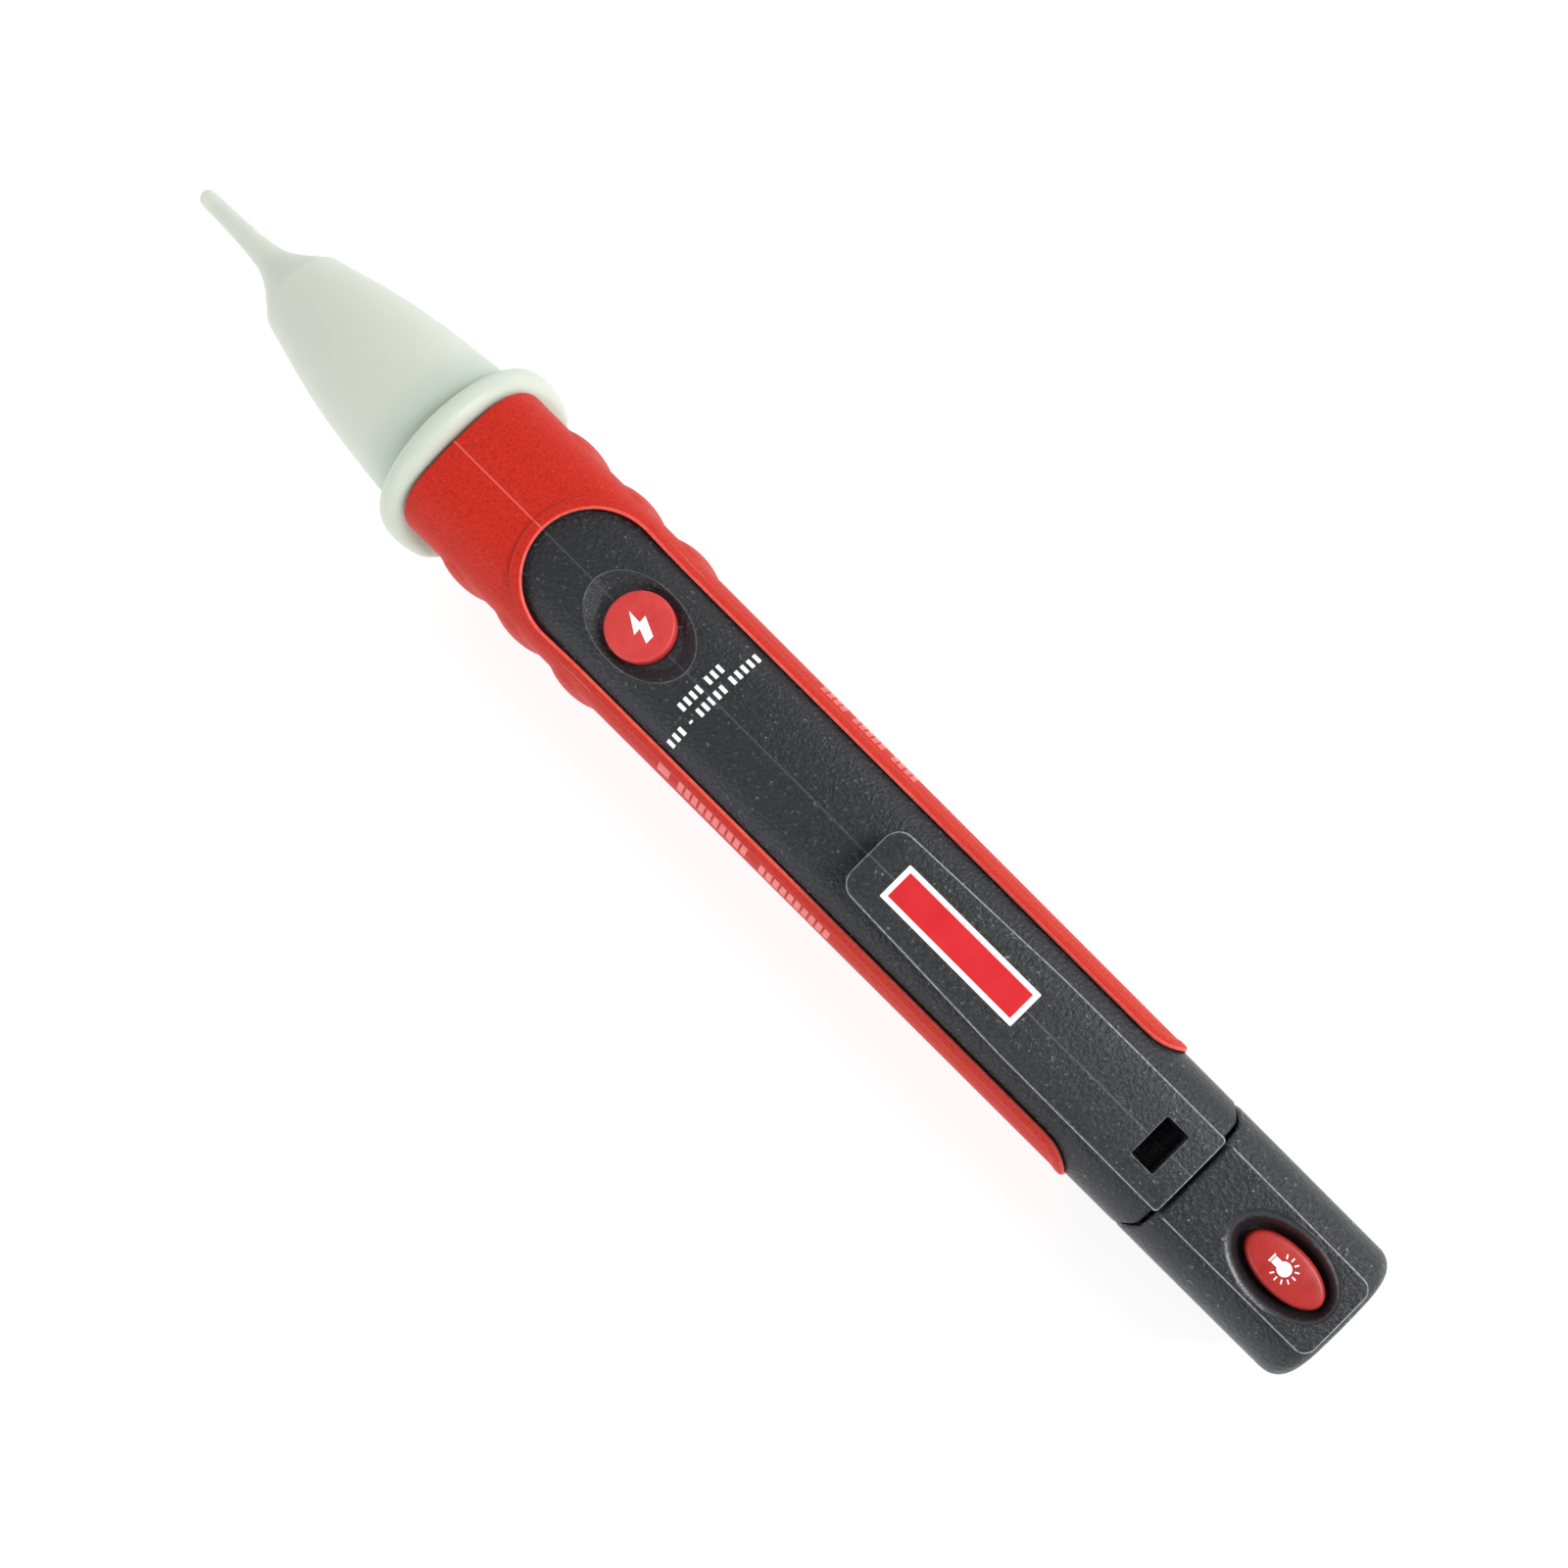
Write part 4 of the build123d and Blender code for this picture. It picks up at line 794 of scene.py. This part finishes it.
def make_barrel_skin():
    """Dark panel with the button's dish, its rim painted lighter as a highlight, running back into the whole
    rear section.
    """
    strip_end, ridge_rear, hole_radius = GRIP_REAR + 0.5, -24, BUTTON_RADIUS + 0.14
    outline = offset_line(BOUNDARY, 0.25)
    outline = outline[outline[:, 0] > GRIP_REAR + 0.6]
    first, last = outline[0].copy(), outline[-1].copy()
    first[0] = last[0] = strip_end
    outline = np.concatenate([[first], outline, [last]])
    stations = np.concatenate([np.arange(BARREL_REAR + 0.9, 4.0, 0.6), np.arange(4.0, PANEL_FRONT, 0.4)])
    grid = domain_grid(stations, 0.4)
    grid = grid[(distance_to(grid, outline) > 0.3) & (dish_reach(grid[:, 0], grid[:, 1]) > 1.12)]
    dish_rings = (
        0.60, 0.64, 0.68, 0.72, 0.77, 0.82, 0.87, 0.91, 0.945, 0.97, 0.985, 1.0, 1.012, 1.025, 1.04, 1.08)
    dish = [on_skin(ellipse(DISH_X, 0, DISH_HALF_LENGTH * k, DISH_HALF_WIDTH * k, 120)) for k in dish_rings]
    cuts = [button_hole(hole_radius, 96), latch_slot(0.35, 0.1)]
    ends = [(BARREL_REAR + d, s) for d in (0.0, 0.06, 0.14, 0.25, 0.4, 0.6) for s in seam_columns(0.4)]
    loose = np.concatenate([
        *dish, button_hole(hole_radius + 0.15, 96), crown_rows(ridge_rear, BUTTON_X - 7.6),
        crown_rows(BUTTON_X + 7.8, PANEL_FRONT - 0.4), ends, grid])
    loose = np.unique(np.round(loose, 3), axis=0)
    loose = loose[(distance_to(loose, outline) > 0.12) & outside(loose, cuts, 0.06)]
    lines = [list(range(len(outline)))] + loop_lines(cuts, len(outline))

    def keep(c):
        return (inside(c, outline) | (c[:, 0] < strip_end)) & outside(c, cuts)

    def height(p):
        x, s = p[:, 0], p[:, 1]
        reach = dish_reach(x, handle_point(x, s)[:, 1])
        upper = np.abs(s) < 8
        bowl = np.where(upper, DISH_DEPTH * np.sin(math.pi / 2 * np.clip((1 - reach) / 0.36, 0, 1)), 0)
        rim_line = np.where(upper, 0.04 * np.exp(-((reach - 1.012) / 0.012) ** 2), 0)
        total = -SKIN_INSET - bowl + rim_line
        total += np.where((reach > 1.05) & (x > ridge_rear), ridge(s, 0.045), 0)
        total -= edge_fall(x - BARREL_REAR, 0.35)
        return total

    # faces on the dish's rim that are painted lighter as a highlight
    def on_dish_rim_highlight(c):
        reach = dish_reach(c[:, 0], handle_point(c[:, 0], c[:, 1])[:, 1])
        return (np.abs(reach - 1.008) < 0.009) & (np.abs(c[:, 1]) < 8)

    shell("barrel_skin", np.concatenate([outline, *cuts, loose]), lines, keep, height, PANEL, "barrel",
          ["barrel"], 1.25, edge=(DISH_RIM_HIGHLIGHT, on_dish_rim_highlight))


def make_barrel_core():
    """Inner wall of the barrel, open at the button and at the latch window."""
    depth, wall = 1.3, 0.5
    cuts = [button_hole(BUTTON_RADIUS + 0.3, 64), latch_slot(0.55, 0.25)]
    grid = domain_grid(np.linspace(BARREL_REAR + 0.5, BARREL_HIGH[0], 90), 0.8)
    grid = grid[outside(grid, cuts, 0.2)]
    shell("barrel_core", np.concatenate([*cuts, grid]), loop_lines(cuts), lambda c: outside(c, cuts),
          lambda p: np.full(len(p), -depth), PANEL, "barrel", (), wall)


def loft_rows(rows):
    """Quads between rows of equal length, each row a closed loop."""
    verts, faces = [], []
    count = len(rows[0])
    for row in rows:
        verts.extend(tuple(p) for p in row)
    for r in range(len(rows) - 1):
        for k in range(count):
            m = (k + 1) % count
            faces.append((r * count + k, (r + 1) * count + k, (r + 1) * count + m, r * count + m))
    return verts, faces


def make_cap():
    """Rear cap body: rounded end, lens seat, and a wall all round."""
    columns = np.linspace(-HALF_GIRTH, HALF_GIRTH, 241)[:-1]
    everywhere = np.ones(len(columns))
    rounding = 2.0
    falls = [(0.0, 0.28), (0.05, 0.16), (0.13, 0.06)] + [(d, 0.0) for d in (0.28, 0.8, 1.4, 2.0, 2.6)]
    rows = [handle_point(everywhere * (CAP_FRONT - d), columns, -SKIN_INSET - fall) for d, fall in falls]
    for x in np.linspace(CAP_FRONT - 3.2, CAP_REAR + rounding, 26):
        rows.append(handle_point(everywhere * x, columns, -SKIN_INSET))
    for row in rows:
        row[:, 0] += seam_curve(row[:, 0], columns, CAP_FRONT)
    for a in np.linspace(0.15, math.pi / 2, 9):
        inset = SKIN_INSET + rounding * (1 - math.cos(a))
        rows.append(handle_point(everywhere * (CAP_REAR + rounding * (1 - math.sin(a))), columns, -inset))
    outer = rows[-1]
    angle = np.arctan2(outer[:, 1], outer[:, 2] - AXIS_HEIGHT)

    def seat_ring(radius, depth):
        return np.column_stack([
            everywhere * (CAP_REAR + depth), radius * np.sin(angle), AXIS_HEIGHT + radius * np.cos(angle)])

    rows += [outer * (1 - t) + seat_ring(3.6, 0.0) * t for t in (0.15, 0.35, 0.6, 0.85, 1.0)]
    rows += [seat_ring(*ring) for ring in ((3.42, 0.06), (3.3, 0.2), (3.25, 0.4), (3.25, 1.3))]
    verts, faces = loft_rows(rows)
    obj = build("cap_body", verts, [f[::-1] for f in faces], CAP, "battery_drawer", ["rear_cap"])
    solidify(obj, 1.3)


def make_pad():
    """Raised pad on the cap with a painted highlight on most of its rounded edge, and the oval well round the
    flashlight button.
    """
    pad_top, pad_under, half_front, half_rear, pad_rear = CAP_HIGH[2], 20.0, 4.92, 4.75, CAP_REAR + 1.35
    well_floor = 19.6
    outline = rounded_polygon(
        ((pad_rear, -half_rear), (CAP_FRONT, -half_front), (CAP_FRONT, half_front), (pad_rear, half_rear)),
        (1.4, 0.4, 0.4, 1.4))
    mouth = ellipse(LIGHT_X + 0.6, 0.0, LIGHT_HALF_LENGTH + 1.7, LIGHT_HALF_WIDTH + 1.75)
    throat = ellipse(LIGHT_X, 0, LIGHT_HALF_LENGTH + 0.14, LIGHT_HALF_WIDTH + 0.14)

    def top(x, y):
        fall = 0.5 * smooth((pad_rear + 2.6 - x) / 2.6)
        return pad_top - 0.05 - fall - 0.006 * y * y

    verts, faces, rim = plate(outline, top, lambda x, y: pad_under + 0 * x, 0.36, [mouth], 0.45)
    centres = [(f, np.mean([verts[v] for v in faces[f]], axis=0)) for f in rim]
    # painted highlight: lighter faces along the pad's rounded edge, all but the front next to the seam
    bright = [f for f, c in centres if c[0] < CAP_FRONT - 0.45 and (abs(c[1]) > 4.1 or c[0] < pad_rear + 1)]
    build("cap_pad", verts, faces, CAP, "battery_drawer", (), edge=(EDGE_HIGHLIGHT, bright))

    level = top(mouth[:, 0], mouth[:, 1]) - 0.12
    steps = ((0.0, 0.0), (0.08, 0.03), (0.16, 0.09), (0.25, 0.19), (0.35, 0.35), (0.46, 0.6), (0.57, 0.95),
             (0.68, 1.4), (0.8, 1.95), (0.9, 2.4), (1.0, 2.9))
    rows = [np.column_stack([mouth * (1 - t) + throat * t, level - depth]) for t, depth in steps]
    outer_wall = offset_loop(mouth, -0.04)
    floor = np.full(len(mouth), well_floor)
    rows += [np.column_stack(ring) for ring in ((throat, floor), (outer_wall, floor), (outer_wall, level))]
    rows.append(rows[0])
    verts, faces = loft_rows(rows)
    build("button_well", verts, [f[::-1] for f in faces], WELL, "battery_drawer", ())


def clip_top(x, y=0.0):
    """Height of the clip's back: arched along its length and slightly crowned across."""
    t = (x - CLIP_LOW[0]) / (CLIP_HIGH[0] - CLIP_LOW[0])
    root, crest, tip = 24.25, 25.85, 25.1
    arch = root * (1 - t) * (1 - 2 * t) + 4 * crest * t * (1 - t) * 0.995 + tip * t * (2 * t - 1)
    return arch - 0.008 * y * y


def make_clip():
    """Pocket clip: tapered arm with rounded tip, bead underneath, window near the root; its rounded upper
    edges are painted lighter as a highlight.
    """
    rear, tip, wide, narrow, waist = CLIP_LOW[0], CLIP_HIGH[0], 4.95, 4.3, -45.0
    outline = rounded_polygon(
        ((rear, -wide), (waist, -wide), (tip, -narrow), (tip, narrow), (waist, wide), (rear, wide)),
        (0.5, 30.0, 2.0, 2.0, 30.0, 0.5))
    window = rounded_box(WINDOW_REAR, WINDOW_FRONT, WINDOW_HALF, 0.15, 0.3)
    root_end, arm_under = -57.2, 23.25

    def top(x, y):
        droop = 0.5 * smooth((x - tip + 2.2) / 2.2) ** 2
        shoulder = 0.14 * smooth((np.abs(y) - 3.0) / 1.6)
        return clip_top(x, y) - droop - shoulder

    def bottom(x, y):
        root = 1 - smooth((x - root_end) / 2.2)
        seat = handle_point(x, np.clip(y, -8, 8))[:, 2] - 0.3
        bead = smooth((x - tip + 4.8) / 1.6) * (1 - smooth((x - tip + 1.1) / 1.1) * 0.6)
        return (arm_under - 1.2 * bead) * (1 - root) + seat * root

    verts, faces, rim = plate(outline, top, bottom, 0.36, [window], 0.45, 0.2)
    # painted highlight: the clip's rounded upper edges, window included, are lighter
    build("clip_arm", verts, faces, CLIP, "pocket_clip", ["pocket_clip"], edge=(EDGE_HIGHLIGHT, rim))


def decal(name, loops, surface, material, body, lift=0.03):
    """Thin printed shapes lying on a surface."""
    verts, faces = [], []
    for loop in loops:
        v, f, _ = plate(loop, lambda x, y: surface(x, y) + lift, lambda x, y: surface(x, y) - 0.06, 0.01,
                        (), 0.5, 0.01)
        base = len(verts)
        verts += v
        faces += [tuple(i + base for i in face) for face in f]
    return build(name, verts, faces, material, body, ())


def range_top(x, y):
    """Height of the round button's slightly domed face."""
    return BUTTON_HIGH[2] - 0.10 - 0.010 * ((x - BUTTON_X) ** 2 + y * y)


def light_top(x, y):
    """Height of the oval button's domed face."""
    return LIGHT_HIGH[2] - 0.006 * (x - LIGHT_X) ** 2 - 0.035 * y * y


def make_buttons():
    """Round range button and oval flashlight button."""
    verts, faces, _ = plate(
        ellipse(BUTTON_X, 0, BUTTON_RADIUS, BUTTON_RADIUS), range_top, lambda x, y: 18.6 + 0 * x, 0.35)
    build("range_button_cap", verts, faces, BUTTON, "range_button", ["range_button"])
    verts, faces, _ = plate(
        ellipse(LIGHT_X, 0, LIGHT_HALF_LENGTH, LIGHT_HALF_WIDTH), light_top, lambda x, y: 20.5 + 0 * x, 0.5)
    build("flashlight_button_cap", verts, faces, BUTTON_DARK, "flashlight_button", ["flashlight_button"])


def box_loop(x, y, length, width, turn=0.0):
    """A small rounded bar as a loop, centred and turned in degrees."""
    loop = rounded_box(-length / 2, length / 2, width / 2, min(length, width) * 0.12, 0.4)
    a = math.radians(turn)
    turned = loop @ np.array([[math.cos(a), math.sin(a)], [-math.sin(a), math.cos(a)]])
    return turned + (x, y)


def panel_height(x, y):
    """Height of the panel's surface at a plan position."""
    s = np.array([arc_at(a, b) for a, b in zip(np.atleast_1d(x), np.atleast_1d(y))])
    return handle_point(np.atleast_1d(x), s, -SKIN_INSET)[:, 2]


def flank_marks(name, marks, side):
    """Thin printed bars on the handle's flank, from (x, length, low z, high z)."""
    verts, faces = [], []
    section_heights = (SECTION_A[:, 1] + SECTION_B[:, 1]) / 2
    levels = np.repeat((0.03, -0.06), 3)
    for x, length, low, high in marks:
        arcs = np.interp([-high, -(high + low) / 2, -low], -section_heights, ARC) * side
        around = np.concatenate([arcs, arcs[::-1]])
        stations = np.linspace(x, x - length, max(2, int(length / 0.5) + 1))
        points, quads = loft_rows([handle_point(np.full(6, at), around, levels) for at in stations])
        last = len(points) - 6
        quads += [(0, 1, 4, 5), (1, 2, 3, 4), (last + 5, last + 4, last + 1, last),
                  (last + 4, last + 3, last + 2, last + 1)]
        faces += [tuple(len(verts) + v for v in (q[::-1] if side > 0 else q)) for q in quads]
        verts += points
    build(name, verts, faces, INK_PINK, "barrel", ())


def make_signs():
    """Generic signs in place of printing: bolt, lamp, bars and a blank badge."""
    bolt = np.array([
        (-0.35, -1.9), (1.05, 0.35), (0.2, 0.3), (0.8, 1.9), (-0.25, 1.9), (-1.2, -0.3), (-0.3, -0.2),
    ]) @ np.array([[0, 1], [-1, 0]])
    dense = []
    for a, b in zip(bolt, np.roll(bolt, -1, axis=0)):
        dense += [a + (b - a) * t for t in np.linspace(0, 1, 6, endpoint=False)]
    decal("bolt_sign", [np.array(dense) + (BUTTON_X, 0)], range_top, INK, "range_button")

    globe_x = LIGHT_X + 0.2
    rays = []
    for k in range(9):
        a = math.radians(-120 + 30 * k) + math.pi
        rays.append(box_loop(globe_x + 1.22 * math.cos(a), 1.22 * math.sin(a), 0.46, 0.15, math.degrees(a)))
    shapes = [ellipse(globe_x, 0, 0.75, 0.75, 40), box_loop(globe_x + 1.0, 0, 0.72, 0.8),
              box_loop(globe_x + 1.55, 0, 0.2, 0.95), *rays]
    decal("lamp_sign", shapes, light_top, INK, "flashlight_button")

    blocks, pitch, gap = [], 0.85, 0.5
    for x, groups in ((2.55, (4, 3)), (0.75, (3, 1, 5, 5))):
        y = (pitch * sum(groups) + gap * (len(groups) - 1)) / 2 - 0.4
        for bars in groups:
            for _ in range(bars):
                blocks.append(box_loop(x, y, 0.28 if bars == 1 else 1.05, 0.45))
                y -= pitch
            y -= gap
    decal("panel_blocks", blocks, panel_height, INK, "barrel")

    badge = rounded_box(BADGE_REAR, BADGE_FRONT, BADGE_HALF, 0.12, 0.5)
    field = rounded_box(BADGE_REAR + 0.6, BADGE_FRONT - 0.6, BADGE_HALF - 0.57, 0.08, 0.5)
    decal("badge_border", [badge], clip_top, INK, "pocket_clip", 0.05)
    decal("badge_field", [field], clip_top, INK_RED, "pocket_clip", 0.09)

    left = [(0.6, 1.7, 17.3, 19.2)]
    left += [(-2.4 - 1.05 * k, 0.75, 17.0, 18.7) for k in range(10)]
    left += [(-14.6 - 1.05 * k, 0.75, 16.7, 18.4) for k in range(10)]
    right = [(-5.8 - 0.95 * k, 0.65, 15.6, 18.0) for k in range(15) if k not in (4, 10)]
    flank_marks("flank_bars_left", left, 1)
    flank_marks("flank_bars_right", right, -1)


def make_cells():
    """Batteries: sleeve over a metal can with its nub."""
    for node in ("battery_front", "battery_rear"):
        low, high = span(node)
        axis = ((low[1] + high[1]) / 2, (low[2] + high[2]) / 2)
        radius = (high[1] - low[1]) / 2
        back, front = low[0], high[0] - 1.0
        rim = ((0.3, 0.9), (0.05, 0.7), (0.05, 0.25), (0.25, 0.05), (0.6, 0.0))
        sleeve = [(back + d, radius - inset) for d, inset in rim]
        sleeve += [(front - d, radius - inset) for d, inset in rim[::-1]]
        can = [(back + 0.02, 0.0), (back + 0.02, radius - 1.2), (back + 0.3, radius - 0.95),
               (front - 0.3, radius - 0.95), (front - 0.1, radius - 1.4), (front - 0.1, 2.2), (front, 1.9),
               (high[0] - 0.15, 1.9), (high[0], 1.7), (high[0], 0.0)]
        verts, faces = lathe(sleeve[::-1], 96, axis)
        build(node + "_sleeve", verts, faces, SLEEVE, "battery_drawer", [node])
        verts, faces = lathe(can[::-1], 96, axis)
        build(node + "_can", verts, faces, METAL, "battery_drawer", ())


def paint_cad():
    """Procedural finishes for the CAD nodes that stay in view."""
    finishes = (
        (PANEL, "battery_tray latch_tongue contact_bulkhead"),
        (BOARD, "main_board flashlight_board"),
        (CHIP, "signal_chip smd_parts buzzer range_switch_base flashlight_switch_base"),
        (WHITE, "range_switch_plunger flashlight_switch_plunger flashlight_led"),
        (METAL, "positive_contact return_contact battery_spring rear_contact return_strip"),
        (LED, "indicator_leds"), (COPPER, "sensor_antenna"), (LENS, "flashlight_lens"),
    )
    for material, nodes in finishes:
        for node in nodes.split():
            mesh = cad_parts[node].data
            mesh.materials.clear()
            mesh.materials.append(material)


# -------------------- stage, light and camera

def soft_world():
    """Surroundings that are bright near the horizon and dimmer overhead."""
    world = bpy.data.worlds.new("studio")
    bpy.context.scene.world = world
    world.use_nodes = True
    tree = world.node_tree
    place = tree.nodes.new("ShaderNodeTexCoord").outputs["Generated"]
    split = tree.nodes.new("ShaderNodeSeparateXYZ")
    tree.links.new(place, split.inputs[0])
    colour = ramp(tree, split.outputs["Z"], (
        (0.0, (1.0, 1.0, 1.0)), (0.35, (0.85, 0.85, 0.86)),
        (0.75, (0.45, 0.45, 0.46)), (1.0, (0.32, 0.32, 0.33)),
    ))
    tree.links.new(colour, tree.nodes["Background"].inputs["Color"])
    tree.nodes["Background"].inputs["Strength"].default_value = 1.1


def make_stage():
    """White floor that glows a little, a soft light from the rear on one side, a weaker one on the other."""
    mesh = bpy.data.meshes.new("floor")
    corners = [(x * 4.0, y * 4.0, 0) for x, y in ((-1, -1), (1, -1), (1, 1), (-1, 1))]
    mesh.from_pydata(corners, [], [(0, 1, 2, 3)])
    floor = add_object("floor", mesh)
    material, _, shader = nodes_of("floor_white")
    set_inputs(shader, {"Base Color": (0.38, 0.38, 0.38, 1), "Emission Color": (1, 1, 1, 1),
                        "Emission Strength": 0.75, "Roughness": 0.9, "Specular IOR Level": 0.1})
    mesh.materials.append(material)
    soft_world()
    for name, place, size, power in (
        ("key", (-0.30, -0.32, 0.42), 0.28, 2.8),
        ("fill", (0.05, 0.50, 0.32), 0.35, 1.1),
    ):
        lamp = bpy.data.lights.new(name, "AREA")
        lamp.size = size
        lamp.energy = power
        obj = add_object(name, lamp)
        obj.location = place
        obj.rotation_euler = (Vector((0, 0, 0.01)) - Vector(place)).to_track_quat("-Z", "Y").to_euler()


def make_camera():
    """Above the pen and a little behind its middle, looking down and slightly towards the tip."""
    camera = bpy.data.cameras.new("camera")
    camera.lens, camera.sensor_width = 45.0, 36.0
    camera.clip_start, camera.clip_end = 0.01, 20
    target = Vector((-9.15, 0.85, AXIS_HEIGHT)) * MM
    place = Vector((-43.3, 3.5, AXIS_HEIGHT + 208.4)) * MM
    back = (place - target).normalized()
    pen = Vector((1, 0, 0))
    pen_seen = (pen - pen.dot(back) * back).normalized()
    across = back.cross(pen_seen)
    right = (-pen_seen - across).normalized()
    up = back.cross(right)
    obj = add_object("camera", camera)
    obj.matrix_world = Matrix.Translation(place) @ Matrix((right, up, back)).transposed().to_4x4()
    bpy.context.scene.camera = obj
    bpy.context.scene.view_settings.view_transform = "Standard"


make_camera()
make_stage()
make_tip()
make_grip()
make_barrel_skin()
make_barrel_core()
make_cap()
make_pad()
make_clip()
make_buttons()
make_signs()
make_cells()
paint_cad()
